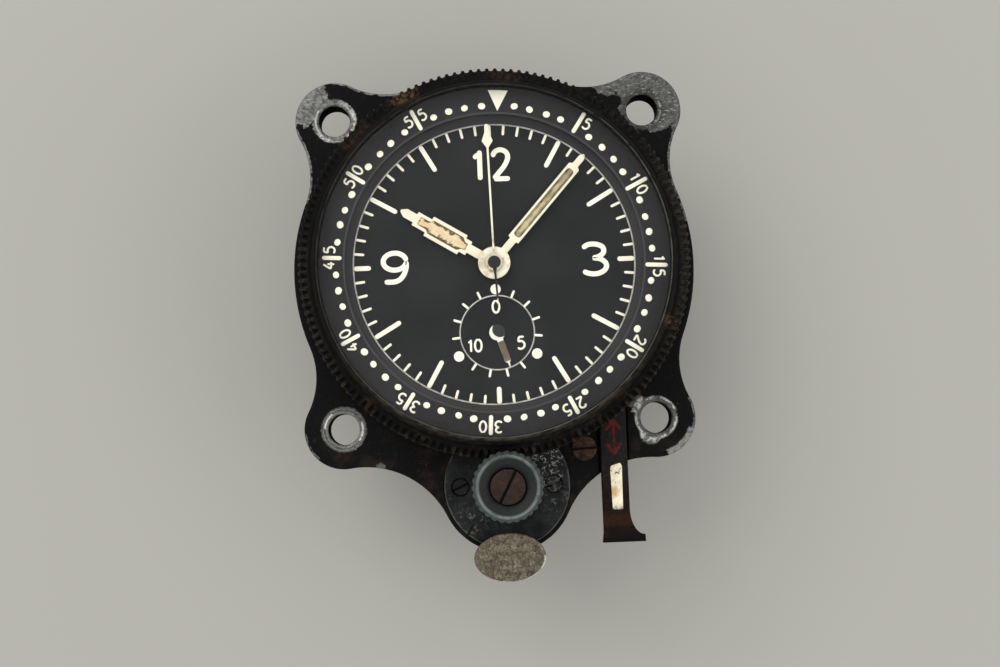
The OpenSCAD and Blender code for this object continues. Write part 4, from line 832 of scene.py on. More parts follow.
def flangeLoop(count):
    # in each direction from the middle, the outline is the furthest of disc, ears and bulge;
    # between two of them it is the near side of the hollow circle that touches both
    angle = np.linspace(-np.pi, np.pi, 14400, endpoint=False)
    way = np.stack([np.cos(angle), np.sin(angle)], 1)
    disc, ear, bulge = flange["radius"], flange["ear"], flange["bulge"]
    centre = np.zeros(2)

    def hit(at, radius, sign):
        run = way @ at
        square = run ** 2 - np.dot(at, at) + radius ** 2
        return np.where(square > 0, run + sign * np.sqrt(np.maximum(square, 0)), 0)

    reach = np.maximum(hit(centre, disc, 1), hit(knobAt, bulge, 1))
    for at in earAts:
        reach = np.maximum(reach, hit(at, ear, 1))
    webs = [(centre, disc, at, ear, flange["earHollow"], side) for at in earAts for side in (-1, 1)]
    webs += [(at, ear, knobAt, bulge, flange["bulgeHollow"], np.sign(at[0])) for at in earAts if at[1] < 0]
    for a, ra, b, rb, hollow, side in webs:
        at = meetingPoint(a, ra + hollow, b, rb + hollow, side)
        ends = [c + (at - c) * r / np.linalg.norm(at - c) for c, r in ((a, ra), (b, rb))]
        middle = math.atan2(*sum(e / np.linalg.norm(e) for e in ends)[::-1])
        spread = max(abs((math.atan2(e[1], e[0]) - middle + np.pi) % (2 * np.pi) - np.pi) for e in ends)
        offset = (angle - middle + np.pi) % (2 * np.pi) - np.pi
        near = hit(at, hollow, -1)
        reach = np.where((np.abs(offset) < spread) & (near > reach), near, reach)
    return evenLine(way * reach[:, None], count, closed=True)


def channelLoop(outline):
    # the outline with the lever's channel let in: up its left side, clockwise round the heart of the flange
    # and down its right side
    x0, x1 = flange["channelX"]
    mouth = (outline[:, 1] < 0) & (outline[:, 0] > x0) & (outline[:, 0] < x1)
    rolled = np.roll(outline, -np.flatnonzero(mouth)[0], 0)
    cut, rest = rolled[:mouth.sum()], rolled[mouth.sum():]
    corners = np.stack([[x0, x1], np.interp([x0, x1], cut[:, 0], cut[:, 1])], 1)
    first, last = (math.degrees(math.atan2(-math.sqrt(flange["heart"] ** 2 - x * x), x)) for x in (x0, x1))
    heart = circleLine((0, 0), flange["heart"], 260, first, last - 360 - first)
    share = np.linspace(0, 1, 13)[:-1, None]
    left, right = (c * (1 - share) + end * share for c, end in zip(corners, (heart[0], heart[-1])))
    rest = rest[np.linalg.norm(rest[:, None] - corners[None], axis=2).min(1) > 0.1]
    return np.vstack([left, heart, right[::-1], rest])


def slantRoom(part, drop=0.0):  # cuts the height by the slant that leaves room for the pusher, at 45 degrees
    points, faces = part
    slant = points[:, 1] - pusherRoom["foot"] - np.where(points[:, 2] > flange["channelZ"], 0, drop)
    under = np.abs(points[:, 0] - knobAt[0]) < pusherRoom["half"]
    height = np.where(under, np.minimum(points[:, 2], slant), points[:, 2])
    return np.column_stack([points[:, :2], height]), faces


def slantRows(ys, reach):  # rows of points across the slant, as far as the plate's flat top reaches
    x = np.linspace(*pusherRoom["x"], pusherRoom["points"])
    rows = np.vstack([np.stack([x, np.full_like(x, y)], 1) for y in ys])
    return rows[np.hypot(*(rows - knobAt).T) < reach - pusherRoom["margin"]]


outline = flangeLoop(flange["points"])
notched = channelLoop(outline)
holes = [circleLine(at, flange["holeR"], flange["holeSides"])[::-1] for at in earAts]
flangeRows = slantRows(pusherRoom["flangeY"], flange["bulge"] - flange["edge"] - flange["band"])
seam = flange["channelZ"] - flange["lap"]  # the two plates overlap a little
upperPlate = roundedPlate([notched, *holes], seam, flange["thick"], flange["edge"], 4, flangeRows,
                          lowEdge=False, band=flange["band"])
lowerLoops = [outline, *holes, circleLine((0, 0), flange["heart"], 200)[::-1]]
lowerPlate = roundedPlate(lowerLoops, 0.0, flange["channelZ"], flange["edge"], 3, topEdge=False)
collar, spigot = (lathe(soften(flange[k], flange["round"], 3, True), flange["sides"], ring=True)
                  for k in ("collar", "spigot"))
plates = [slantRoom(plate, drop) for plate, drop in zip((upperPlate, lowerPlate), pusherRoom["drops"])]
casting = joined([*plates, collar, spigot])


def flangeWorn(p):  # 1 on the rounded upper edge of the outline, nothing inside its band
    profile = [0, 0.6, 1, 1, 1, 0.9, 0]  # from the foot of the upper plate's side to the end of the band
    worn = np.zeros(len(p))
    worn[:len(notched) * len(profile)] = np.tile(profile, len(notched))
    return worn


addPiece("flangeCasting", casting, "case", finishes["case_black"], ["flange_body"], 38,
         flangeWorn)
print("flange done")


# bezel: turned ring whose edge has slots cut at a slant, over a plain rim

bezel = {"slots": 150, "steps": 10, "tip": 29.4, "root": 28.0, "shallow": 0.22, "run": 1.15, "low": 5.8,
         "slotLow": 7.6, "groove": 0.12, "knurlTop": 13.0, "bevel": 27.5, "top": 15.9, "rim": 26.6,
         "lip": 26.2, "lipLow": 15.3, "bore": 26.7, "round": 0.14}


def bezelProfile():
    # along the bottom, up past a groove and the slotted edge, up the slope and back down inside
    tip, low, top, knurlTop, slotLow = (bezel[k] for k in ("tip", "low", "top", "knurlTop", "slotLow"))
    outside = [[bezel["bore"], low], [tip - 0.3, low], [tip, low + 0.35], [tip, slotLow - bezel["groove"]],
               [tip - 0.1, slotLow], [tip, slotLow + bezel["groove"]], [tip, knurlTop - 1.2],
               [tip, knurlTop - 0.8], [tip, knurlTop - 0.35], [tip - 0.3, knurlTop]]
    slope = [[bezel["root"] + 0.4, knurlTop], [bezel["bevel"], knurlTop + 0.05],
             [bezel["rim"] + 0.05, top - 0.1], [bezel["rim"] - 0.05, top]]
    inside = [[bezel["lip"], top], [bezel["lip"], bezel["lipLow"]], [bezel["bore"], bezel["lipLow"]]]
    return soften(outside + slope + inside, bezel["round"], 2, True)


def coinEdge(angle, radius, height):
    # the slots' floor slants from the root at the top out to just under the tips and goes straight down from
    # there; across, the teeth are square at the top and a soft wave further down
    turn = (angle * bezel["slots"] / (2 * np.pi)) % 1
    down = np.clip((bezel["knurlTop"] - height) / bezel["run"], 0, 1)
    square = np.clip((0.28 - np.abs(turn - 0.5)) / 0.09, 0, 1)
    square = square * square * (3 - 2 * square)
    ridge = square * (1 - down) + (0.5 - 0.5 * np.cos(2 * np.pi * turn)) * down
    floor = bezel["root"] + down * (bezel["tip"] - bezel["shallow"] - bezel["root"])
    slotted = (height > bezel["slotLow"] + 0.02) & (radius > bezel["root"])
    return np.where(slotted, np.minimum(radius, floor + (bezel["tip"] - floor) * ridge), radius)


bezelRing = lathe(bezelProfile(), bezel["slots"] * bezel["steps"], ring=True, wave=coinEdge)
addPiece("knurledBezel", bezelRing, "bezel_group", bezelPaint(), ["bezel"], 32)


# glass: a flat disc with a small polished edge

crystal = {"radius": 26.6, "low": 13.2, "top": 15.08, "edge": 0.35, "round": 0.1, "sides": 200}
crystalLine = [[0.0, crystal["low"]], [crystal["radius"], crystal["low"]],
               [crystal["radius"], crystal["top"] - crystal["edge"]],
               [crystal["radius"] - crystal["edge"], crystal["top"]], [0.0, crystal["top"]]]
crystalDisc = lathe(soften(crystalLine, crystal["round"], 2), crystal["sides"])
addPiece("crystal", crystalDisc, "bezel_group", crystalGlass(), ["glass"], 30)
print("case, bezel and glass done")


# numbers drawn as strokes in a cell one unit high

digits = {
    "0": [arcLine((0.31, 0.5), 0.27, 0.46, 90, 452, 60)],
    "1": [[[0.34, 0.02], [0.34, 0.97]], [[0.32, 0.86], [0.13, 0.72]]],
    "2": [smoothLine([[0.05, 0.74], [0.12, 0.9], [0.31, 0.97], [0.51, 0.89], [0.57, 0.71], [0.45, 0.46],
                      [0.24, 0.23], [0.06, 0.04]], 50),
          [[0.06, 0.04], [0.62, 0.04]]],
    "3": [smoothLine([[0.05, 0.84], [0.17, 0.95], [0.36, 0.96], [0.52, 0.86], [0.53, 0.68], [0.41, 0.56],
                      [0.27, 0.53]], 40),
          smoothLine([[0.27, 0.53], [0.45, 0.49], [0.58, 0.35], [0.57, 0.17], [0.42, 0.04], [0.22, 0.03],
                      [0.04, 0.12]], 40)],
    "4": [[[0.42, 0.97], [0.04, 0.3]], [[0.04, 0.3], [0.64, 0.3]], [[0.45, 0.62], [0.45, 0.02]]],
    "5": [[[0.55, 0.95], [0.15, 0.95]], [[0.15, 0.95], [0.11, 0.55]],
          smoothLine([[0.11, 0.55], [0.27, 0.63], [0.45, 0.58], [0.57, 0.42], [0.56, 0.21], [0.41, 0.05],
                      [0.21, 0.03], [0.05, 0.12]], 50)],
    "9": [arcLine((0.31, 0.68), 0.26, 0.27, 0, 362, 50),
          smoothLine([[0.57, 0.69], [0.56, 0.45], [0.48, 0.2], [0.33, 0.05], [0.07, 0.04]], 40)],
}
digitWide = 0.62


def number(text, height, width, at, turn, base, rise, gap=0.74, stretch=1.0):
    # each digit's strokes are scaled, set side by side about the middle, turned and put in place
    strokes = []
    step = gap * height * stretch
    for k, digit in enumerate(text):
        left = (k - len(text) / 2) * step + (step - digitWide * height * stretch) / 2
        for line in map(np.array, digits[digit]):
            flat = np.stack([line[:, 0] * height * stretch + left, (line[:, 1] - 0.5) * height], 1)
            count = 30 if len(line) > 2 else 16
            strokes.append(stroke(turned(flat, turn, at), width, base, rise, count))
    return strokes


# painted marks: bars as (near, far, width), numbers as (text, place, gap, stretch)

dial = {"face": 10.4, "rise": 0.03, "track": 21.25, "trackWide": 0.24, "minute": (19.65, 21.2, 0.4),
        "hour": (16.6, 21.2, 0.7), "quarter": (18.6, 21.2, 0.72), "twelveWide": 0.5, "short": 1.35,
        "numberHigh": 4.8, "numberWide": 0.76,
        "numbers": [("12", (-0.1, 15.1), 0.74, 0.92), ("3", (15.1, 0.15), 0.7, 1.36),
                    ("9", (-15.0, 0.0), 0.7, 1.4)]}
counter = {"at": (0.05, -10.45), "track": 5.6, "trackWide": 0.2, "tick": (5.6, 6.85, 0.36), "dotR": 6.78,
           "firstDotR": 6.56, "dot": 0.78, "numberHigh": 1.95, "numberWide": 0.32,
           "numbers": [("0", (0.0, -6.55), 0.7, 0.95), ("5", (3.55, -12.1), 0.7, 1.0),
                       ("10", (-3.45, -12.3), 0.62, 0.95)]}


def numbersOf(scale):  # the numbers of the dial or its counter
    size, paintOn = (scale["numberHigh"], scale["numberWide"]), (dial["face"], dial["rise"])
    rows = [number(text, *size, at, 0, *paintOn, *how) for text, at, *how in scale["numbers"]]
    return sum(rows, [])


def dialStrokes():  # a bar for every minute, the numbers, and the same for the counter with its dots
    paintOn = dial["face"], dial["rise"]
    strokes = []
    for minute in range(60):
        near, far, width = dial["quarter" if minute % 15 == 0 else "hour" if minute % 5 == 0 else "minute"]
        if minute == 0:
            width = dial["twelveWide"]
        if 27 <= minute <= 33 and minute != 30:
            near = far - dial["short"]  # these stop short of the counter
        strokes.append(stroke(rayLine(minute * 6, near, far), width, *paintOn, 16))
    strokes += numbersOf(dial)
    for step in range(15):
        if step % 5:
            near, far, width = counter["tick"]
            strokes.append(stroke(rayLine(step * 24, near, far, counter["at"]), width, *paintOn, 14))
        else:
            far = counter["dotR" if step else "firstDotR"]
            strokes.append(dot(rayLine(step * 24, 0, far, counter["at"])[1], counter["dot"], *paintOn))
    return strokes + numbersOf(counter)


ivory = markPaint()
addPiece("dialMarks", joined(dialStrokes()), "case", ivory, sharp=80)
tracks = [circleBead(at, scale["track"], scale["trackWide"], dial["face"], dial["rise"] * 0.8)
          for at, scale in (((0, 0), dial), (counter["at"], counter))]
addPiece("dialTracks", joined(tracks), "case", trackPaint(), sharp=80)

minuteRing = {"face": 13.1, "rise": 0.05, "turn": -3.4, "dotR": 23.6, "dot": 0.475, "longer": 0.13,
              "barWide": 0.62, "numberR": 24.65, "firstR": 25.0, "high": 1.75, "wide": 0.31, "apart": 1.17,
              "oneApart": 0.82, "point": (25.95, 22.75, 1.5),
              "bars": {5: (22.7, 26.3), 10: (22.45, 26.15), 15: (22.55, 25.9), 20: (22.75, 25.95),
                       25: (22.9, 25.95), 30: (22.9, 25.9), 35: (22.9, 25.9), 40: (22.75, 25.95),
                       45: (22.75, 25.7), 50: (22.6, 25.95), 55: (22.6, 26.1)}}


def ringStrokes():  # a pointer at the top, a bar between its number's digits every five minutes, dots between
    paintOn = minuteRing["face"], minuteRing["rise"]
    far, near, half = minuteRing["point"]
    pointer = evenLine(rayLine(-minuteRing["turn"], far, near), 60)
    strokes = [ribbon(pointer, np.concatenate([[0], np.linspace(half, 0, 59)]), *paintOn)]
    for minute in range(1, 60):
        angle = minute * 6 - minuteRing["turn"]
        if minute % 5:  # each sine stands for the painter's unsteady hand
            aside, further = 0.25 * math.sin(minute * 2.7), 0.06 * math.sin(minute * 1.9)
            at = rayLine(angle + aside, 0, minuteRing["dotR"] + further)[1]
            radius = minuteRing["dot"] * (1 + 0.05 * math.sin(minute * 3.1))
            lean = 25 * math.sin(minute * 2.3) - angle
            strokes.append(dot(at, radius, *paintOn, lean, minuteRing["longer"]))
            continue
        bar = rayLine(angle, *minuteRing["bars"][minute])
        strokes.append(stroke(bar, minuteRing["barWide"], *paintOn, 16))
        text = str(minute)
        at = rayLine(angle, 0, minuteRing["firstR" if minute == 5 else "numberR"])[1]
        across = turned(np.array([[1.0, 0.0]]), -angle)[0]
        for k, digit in enumerate(text):
            apart = minuteRing["apart"] * (minuteRing["oneApart"] if digit == "1" else 1)
            side = 1 if len(text) == 1 else 2 * k - 1
            beside = at + across * apart * side
            strokes += number(digit, minuteRing["high"], minuteRing["wide"], beside, -angle, *paintOn)
    return strokes


addPiece("ringMarks", joined(ringStrokes()), "bezel_group", ivory, sharp=80)
print("dial and ring markings done")


# hands: outlines are half widths and radii on the right side, mirrored to the left

handPlate = {"thick": 0.2, "edge": 0.05, "hub": 2.42, "round": 0.12, "bladeRound": 0.06, "tailRound": 0.03,
             "points": 500, "windowPoints": 220, "bladePoints": 300, "tailPoints": 160, "hubSides": 160,
             "boreSides": 60}
hourHand = {
    "angle": 301.7, "z": 11.1, "bore": 1.65, "corner": 0.2, "lumps": 0.4,
    "steps": [[0.7, 1.9], [0.7, 4.4], [1.15, 4.4], [1.15, 5.5], [1.65, 5.5], [1.65, 11.35], [1.13, 11.35],
              [1.13, 13.7], [0.7, 13.7], [0.7, 15.4], [0.15, 16.2]],
    "window": [[0.55, 4.8], [0.55, 5.35], [1.1, 5.9], [1.1, 11.0], [0.65, 11.4], [0.65, 13.0]],
    "shades": {"base": (225, 198, 154), "light": (231, 212, 172), "dark": (70, 57, 36),
               "streak": (222, 188, 141), "streaked": 0.5, "chips": 1.0}}
minuteHand = {
    "angle": 41.8, "z": 11.6, "bore": 1.25, "corner": 0.5, "lumps": 1.7,
    "steps": [[0.57, 1.9], [0.57, 4.45], [0.96, 4.45], [0.96, 18.9], [0.5, 19.2], [0.5, 20.7], [0.12, 21.3]],
    "window": [[0.6, 5.15], [0.6, 18.3]],
    "shades": {"base": (108, 100, 74), "light": (141, 130, 98), "dark": (70, 60, 41),
               "streak": (200, 186, 142), "streaked": 0.85, "chips": 0.75}}
sweepHand = {
    "angle": 358.9, "z": 12.1, "hub": 1.27, "cap": (0.95, 0.5), "tailLean": 2.2,
    "steps": [[0.14, 1.2], [0.16, 17.4], [0.85, 18.4], [0.35, 19.7], [0.32, 20.7], [0.16, 21.0]],
    "tail": [[0.17, 1.2], [0.14, 5.5], [0.07, 5.6], [0.07, 6.9]]}
counterHand = {
    "angle": 161.4, "z": 10.6, "hub": 1.2, "cap": (0.75, 0.36),
    "steps": [[0.45, 1.0], [0.5, 1.6], [0.5, 4.55], [0.16, 4.85], [0.1, 5.5]]}


def handLoop(steps, count, corner):  # the mirrored outline with softened corners at equal steps
    steps = np.asarray(steps, float)
    both = np.vstack([steps, steps[::-1] * [-1, 1]])
    return evenLine(soften(both, corner, 3, True), count, closed=True)


def handShape(steps):  # the outline of a hand and its round hub, as the further of the two in each direction
    loop, hub = handLoop(steps, handPlate["points"], handPlate["round"]), handPlate["hub"]
    blade = loop[np.hypot(loop[:, 0], loop[:, 1]) > hub]
    blade = np.roll(blade, -int(np.argmax(np.linalg.norm(np.roll(blade, 1, 0) - blade, axis=1))), 0)
    first, last = (math.degrees(math.atan2(p[1], p[0])) for p in (blade[-1], blade[0]))
    ring = circleLine((0, 0), hub, handPlate["hubSides"], first, (last - first) % 360)
    return np.vstack([blade, ring[1:-1]])


def windowLoop(hand):  # the opening that holds the filling
    return handLoop(hand["window"], handPlate["windowPoints"], hand["corner"])


def placedHand(loops, z, angle, at=(0, 0)):  # a thin plate turned to its clock angle
    loops = [turned(loop, -angle, at) for loop in loops]
    return roundedPlate(loops, z, z + handPlate["thick"], handPlate["edge"], 2)


def pointedHand(hand):  # a hand with a window for its filling and a bore for its arbor
    bore = circleLine((0, 0), hand["bore"], handPlate["boreSides"])
    loops = [handShape(hand["steps"]), windowLoop(hand)[::-1], bore[::-1]]
    return placedHand(loops, hand["z"], hand["angle"])


def handWorn(p):  # 1 low on the rounded side of a hand
    return np.clip((p[:, 2].max() - p[:, 2]) / 0.08, 0, 1)


handFinish = handPaint()
addPiece("hourHand", pointedHand(hourHand), "hour_group", handFinish, ["hour_hand"], 40,
         handWorn)
addPiece("minuteHand", pointedHand(minuteHand), "minute_group", handFinish, ["minute_hand"],
         40, handWorn)


def lumeFill(loop, z, angle, seed, at=(0, 0), rim=0.1, swell=0.07):
    # paint in a window: rings shrink from the outline towards its middle line, and the height swells inwards
    # with small lumps; also gives each point's share of the edge
    count = len(loop)
    rings = np.linspace(0, 0.88, 8)[:, None, None]
    inner = np.clip(loop[:, 1], loop[:, 1].min() + 0.5, loop[:, 1].max() - 0.5)
    middle = np.stack([np.zeros(count), inner], 1)
    flat = loop[None] * (1 - rings) + middle[None] * rings
    x, y = flat[..., 0], flat[..., 1]
    lump = np.sin(x * 7.1 + seed) * np.sin(y * 5.3 + seed * 2) + 0.6 * np.sin(y * 11 + x * 9 + seed)
    height = z + rim + swell * np.sqrt(rings[..., 0]) + 0.022 * lump * np.minimum(rings[..., 0] * 3, 1)
    under = np.concatenate([loop, np.full((count, 1), z)], 1)[None]
    grid = np.concatenate([under, np.concatenate([flat, height[..., None]], -1)])
    grid[..., :2] = turned(grid[..., :2].reshape(-1, 2), -angle, at).reshape(*grid.shape[:2], 2)
    sides = gridFaces(len(grid), count, False, True)[:, ::-1].tolist()
    low, top = flatFill([grid[0, :, :2]])[:, ::-1], flatFill([grid[-1, :, :2]]) + (len(grid) - 1) * count
    share = np.repeat(np.concatenate([[1], 1 - rings[:, 0, 0]]), count)
    return (grid.reshape(-1, 3), sides + low.tolist() + top.tolist()), share


for hand, name, body, slotName, node in (
        (hourHand, "hourLume", "hour_group", "lume_cream", "hour_hand_lume"),
        (minuteHand, "minuteLume", "minute_group", "lume_olive", "minute_hand_lume")):
    filling, edgeShare = lumeFill(windowLoop(hand), hand["z"], hand["angle"], hand["lumps"])
    finish = lumePaint(name + "Paint", hand["angle"], hand["shades"])
    addPiece(name, filling, body, finish, [node], 60, lambda p, share=edgeShare: share)


def withHub(hand, at=(0, 0)):  # a blade, a separate round hub at the same height and a cap on it
    z, hub, (cap, capTop) = hand["z"], hand["hub"], hand["cap"]
    top = z + handPlate["thick"] + 0.02
    outline = handLoop(hand["steps"], handPlate["bladePoints"], handPlate["bladeRound"])
    blade = placedHand([outline], z, hand["angle"], at)
    disc = lathe(soften([[0.0, z], [hub, z], [hub, top], [0.0, top]], handPlate["edge"], 2), 72, at)
    capLine = [[0.0, z + 0.1], [cap, z + 0.1], [cap, z + capTop], [0.0, z + capTop]]
    return [blade, disc, lathe(soften(capLine, 0.1, 3), 60, at)]


tailLoop = handLoop(sweepHand["tail"], handPlate["tailPoints"], handPlate["tailRound"])
tail = placedHand([tailLoop], sweepHand["z"], sweepHand["angle"] + 180 - sweepHand["tailLean"])
sweepFinish = sweepPaint(sweepHand["angle"], sweepHand["tailLean"])
sweepParts = joined([*withHub(sweepHand), tail])
addPiece("sweepHand", sweepParts, "sweep_group", sweepFinish, ["sweep_hand"], 40)
counterFinish = counterPaint(counter["at"], clockWay(counterHand["angle"]))
counterParts = joined(withHub(counterHand, counter["at"]))
addPiece("counterHand", counterParts, "counter_group", counterFinish, ["counter_hand"], 40)
print("hands done")


# cover plate under the knob, its screws and the guide screw

cover = {"radius": 9.6, "low": 4.5, "top": 5.5, "edge": 0.3, "collar": 26.9, "cut": -42.3, "bore": 2.06,
         "screwX": 7.1, "seat": 1.33, "wornFrom": 8.9, "wornWide": 0.7, "points": 420}
coverScrew = {"low": 4.7, "high": 5.42, "radius": 1.25, "slot": 0.3, "turn": 24, "edge": 0.1}
guideScrew = {"low": 4.5, "high": 5.4, "radius": 1.9, "slot": 0.32, "turn": 2}
guideAt = (12.7, -28.3)
screwAts = [(knobAt[0] + sx * cover["screwX"], knobAt[1]) for sx in (-1, 1)]


def coverLoop():  # a circle cut straight below and hollowed by the collar above, its corners rounded
    loop = circleLine(knobAt, cover["radius"], 2400)
    loop[:, 1] = np.maximum(loop[:, 1], cover["cut"])
    outwards = np.maximum(1, cover["collar"] / np.linalg.norm(loop, axis=1))
    loop = evenLine(loop * outwards[:, None], cover["points"], closed=True)
    return sum(np.roll(loop, k, 0) for k in range(-4, 5)) / 9


def coverWorn(p):  # 1 at the outer edge
    reach = np.hypot(*(p[:, :2] - knobAt).T)
    return np.clip((reach - cover["wornFrom"]) / cover["wornWide"], 0, 1)


def slottedHead(at, low, high, radius, slot, turn, edge=0.12):
    # two half moons with a slot between them stand on a thinner disc
    start = math.degrees(math.asin(slot / 2 / radius))
    moon = circleLine((0, 0), radius, 60, start, 180 - 2 * start)
    chord = np.stack([np.linspace(moon[-1, 0], moon[0, 0], 40)[1:-1], np.full(38, slot / 2)], 1)
    moon = np.vstack([moon, chord])
    middle = low + (high - low) * 0.45
    halves = [roundedPlate([turned(moon, turn + add, at)], middle - 0.02, high, edge, 3, lowEdge=False)
              for add in (0, 180)]
    disc = lathe(soften([[0.0, low], [radius, low], [radius, middle], [0.0, middle]], 0.02, 1), 72, at)
    return joined([*halves, disc])


coverHoles = [circleLine(knobAt, cover["bore"], 60)[::-1]]
coverHoles += [circleLine(at, cover["seat"], 48)[::-1] for at in screwAts]
coverRows = slantRows(pusherRoom["coverY"], cover["radius"] - cover["edge"])
coverPart = roundedPlate([coverLoop(), *coverHoles], cover["low"], cover["top"], cover["edge"], 4, coverRows)
addPiece("coverPlate", slantRoom(coverPart), "case", coverPaint(), ["cover_plate"], 38,
         coverWorn)
darkScrew = rustScrew("darkScrew", (34, 34, 32), (18, 18, 17), coverScrew["high"], 0.4)
smallScrews = joined([slottedHead(at, **coverScrew) for at in screwAts])
addPiece("coverScrews", smallScrews, "case", darkScrew, ["cover_plate_screws"], 40)
brownScrew = rustScrew("guideScrewRust", (80, 54, 40), (42, 28, 20), guideScrew["high"], 0.0, 0.8)
guideHead = slottedHead(guideAt, **guideScrew)
addPiece("guideScrew", guideHead, "case", brownScrew, ["lever_guide_screw"], 40)


# winding knob and its screw

knob = {"radius": 5.35, "ribs": 28, "ribSteps": 12, "rib": 0.22, "ribsFrom": 4.62, "neck": 3.2, "base": 5.8,
        "head": 13.4, "top": 15.4, "dish": 14.5, "well": 0.35, "round": 0.22, "screw": 2.6, "screwTop": 15.2,
        "screwDeep": 0.3, "screwEdge": 0.15, "slot": 0.38, "slotTurn": 62}


def knobProfile():  # up the neck, out under the head, up over the rim and down the dish into the screw's well
    neck, screw = knob["neck"], knob["screw"]
    head, top, floor = knob["head"], knob["top"], knob["dish"] - knob["well"]
    outside = [[0.0, knob["base"]], [neck, knob["base"]], [neck, head], [4.95, head],
               [knob["radius"], head + 0.3], [knob["radius"] - 0.05, top - 0.75],
               [4.75, top - 0.05], [4.5, top]]
    inside = [[4.3, top - 0.12], [screw + 0.12, knob["dish"] + 0.05], [screw + 0.1, floor], [0.0, floor]]
    return soften(outside + inside, knob["round"], 4)


def ribWave(angle, radius, height):  # rounded ribs outside the rim, fading towards the dish
    weight = np.clip((radius - knob["ribsFrom"]) / 0.5, 0, 1)
    wave = 0.5 - 0.5 * np.cos(angle * knob["ribs"])
    return radius - knob["rib"] * weight * (wave ** 1.6)


knobPart = lathe(knobProfile(), knob["ribs"] * knob["ribSteps"], knobAt, wave=ribWave)
addPiece("knobHead", knobPart, "knob_group", knobPlastic(knobAt), ["winding_knob"], 45)
knobScrew = slottedHead(knobAt, knob["dish"] - knob["screwDeep"], knob["screwTop"], knob["screw"],
                        knob["slot"], knob["slotTurn"], knob["screwEdge"])
knobRust = rustScrew("knobScrewRust", (54, 37, 29), (36, 25, 20), knob["screwTop"])
addPiece("knobScrew", knobScrew, "knob_group", knobRust, ["winding_knob_screw"], 40)


# stop pusher: a slanted disc on a stem

pusher = {"radius": 5.45, "thick": 1.2, "stem": 1.4, "stemLong": 5.6, "bevel": 0.7, "round": 0.18,
          "sides": 140, "at": (0.7, -44.6396, 6.5), "tilt": 45.0}
pusherSlant = Matrix.Translation(pusher["at"]) @ Matrix.Rotation(math.radians(pusher["tilt"]), 4, "X")


def pusherProfile():  # the stem from its end upwards, the bevelled underside, the rim and the flat top
    radius, stem, low, end = pusher["radius"], pusher["stem"], -pusher["thick"], -pusher["stemLong"]
    line = [[0.0, end], [stem, end], [stem, low], [radius - pusher["bevel"], low], [radius, -0.45],
            [radius, -0.2], [radius - 0.3, -0.02], [0.0, 0.0]]
    return soften(line, pusher["round"], 3)


def pusherWorn(p):  # 1 at the rim
    local = (p - np.array(pusher["at"])) @ np.array(pusherSlant)[:3, :3]
    return np.clip((np.hypot(local[:, 0], local[:, 1]) - pusher["radius"] + 0.5) / 0.4, 0, 1)


pusherPart = moved(lathe(pusherProfile(), pusher["sides"]), pusherSlant)
addPiece("pusherDisc", pusherPart, "pusher_group", pusherNickel(), ["stop_pusher"], 40,
         pusherWorn)


# setting lever: a rounded bar whose section changes along its length

lever = {"x": 17.2, "half": 2.05, "reach": 42.7, "flare": 2.2, "flareLong": 4.0, "heel": 0.2, "heelLong": 1.5,
         "low": 3.9, "high": 5.4, "lip": 6.1, "lipLong": 2.0, "tongueHigh": 4.35, "shoulder": -22.2,
         "end": -13.95, "edge": 0.22}


def leverBar():
    # one rounded section for each stop along y: the right side flares out in a quarter circle towards the
    # foot, the left side has a small heel, and the top curls up to a lip and drops to a tongue at the
    # shoulder
    foot, shoulder, edge = -lever["reach"], lever["shoulder"], lever["edge"]
    y = np.concatenate([[foot], np.linspace(foot + 0.03, -36.5, 60), np.linspace(-36, shoulder, 30),
                        [shoulder + 0.01], np.linspace(shoulder + 0.3, lever["end"], 8)])
    bend = np.clip(1 - (y - foot - 1) / lever["flareLong"], 0, 1)
    heel, curl = (np.clip((foot + lever[k] - y) / lever[k], 0, 1) for k in ("heelLong", "lipLong"))
    right = lever["x"] + lever["half"] + lever["flare"] * (1 - np.sqrt(1 - bend ** 2))
    left = lever["x"] - lever["half"] - lever["heel"] * heel
    high = lever["high"] + (lever["lip"] - lever["high"]) * curl ** 2
    high = np.where(y > shoulder + 0.005, lever["tongueHigh"], high)
    round4 = np.repeat(np.radians([-90, 0, 90, 180]), 5) + np.tile(np.radians(np.linspace(0, 90, 5)), 4)
    signX, signZ = np.repeat([1, 1, -1, -1], 5), np.repeat([-1, 1, 1, -1], 5)
    halfX, halfZ = (right - left) / 2 - edge, (high - lever["low"]) / 2 - edge
    x = ((left + right) / 2)[:, None] + signX * halfX[:, None] + np.cos(round4) * edge
    z = ((lever["low"] + high) / 2)[:, None] + signZ * halfZ[:, None] + np.sin(round4) * edge
    bar = np.stack([x, np.broadcast_to(y[:, None], x.shape), z], -1)
    rows, columns = x.shape
    last = (rows - 1) * columns
    caps = [list(range(columns)), list(range(last + columns - 1, last - 1, -1))]
    return bar.reshape(-1, 3), gridFaces(rows, columns, False, True).tolist() + caps


def leverWorn(p):  # 1 on the long rounded edges
    nearEdge = np.abs(np.abs(p[:, 0] - lever["x"]) - lever["half"]) < 0.35
    return np.clip((p[:, 2] - lever["high"] + 0.3) / 0.3, 0, 1) * nearEdge


addPiece("settingLever", leverBar(), "lever_group", leverPaint(), ["setting_lever"], 40,
         leverWorn)

strip = {"at": (17.4, -34.25), "halfWide": 0.9, "halfTall": 3.55, "low": 5.1, "rim": 0.3, "swell": 0.09,
         "corner": 0.2, "lumps": 0.9, "points": 180}


def stripLoop():  # a long strip with uneven, partly broken corners
    wide, tall = strip["halfWide"], strip["halfTall"]
    corners = [[0.15 - wide, -tall], [wide - 0.1, -tall], [wide, tall - 0.5], [wide - 0.25, tall],
               [0.1 - wide, tall - 0.45], [-wide, tall - 1.0]]
    return evenLine(soften(corners, strip["corner"], 3, True), strip["points"], closed=True)


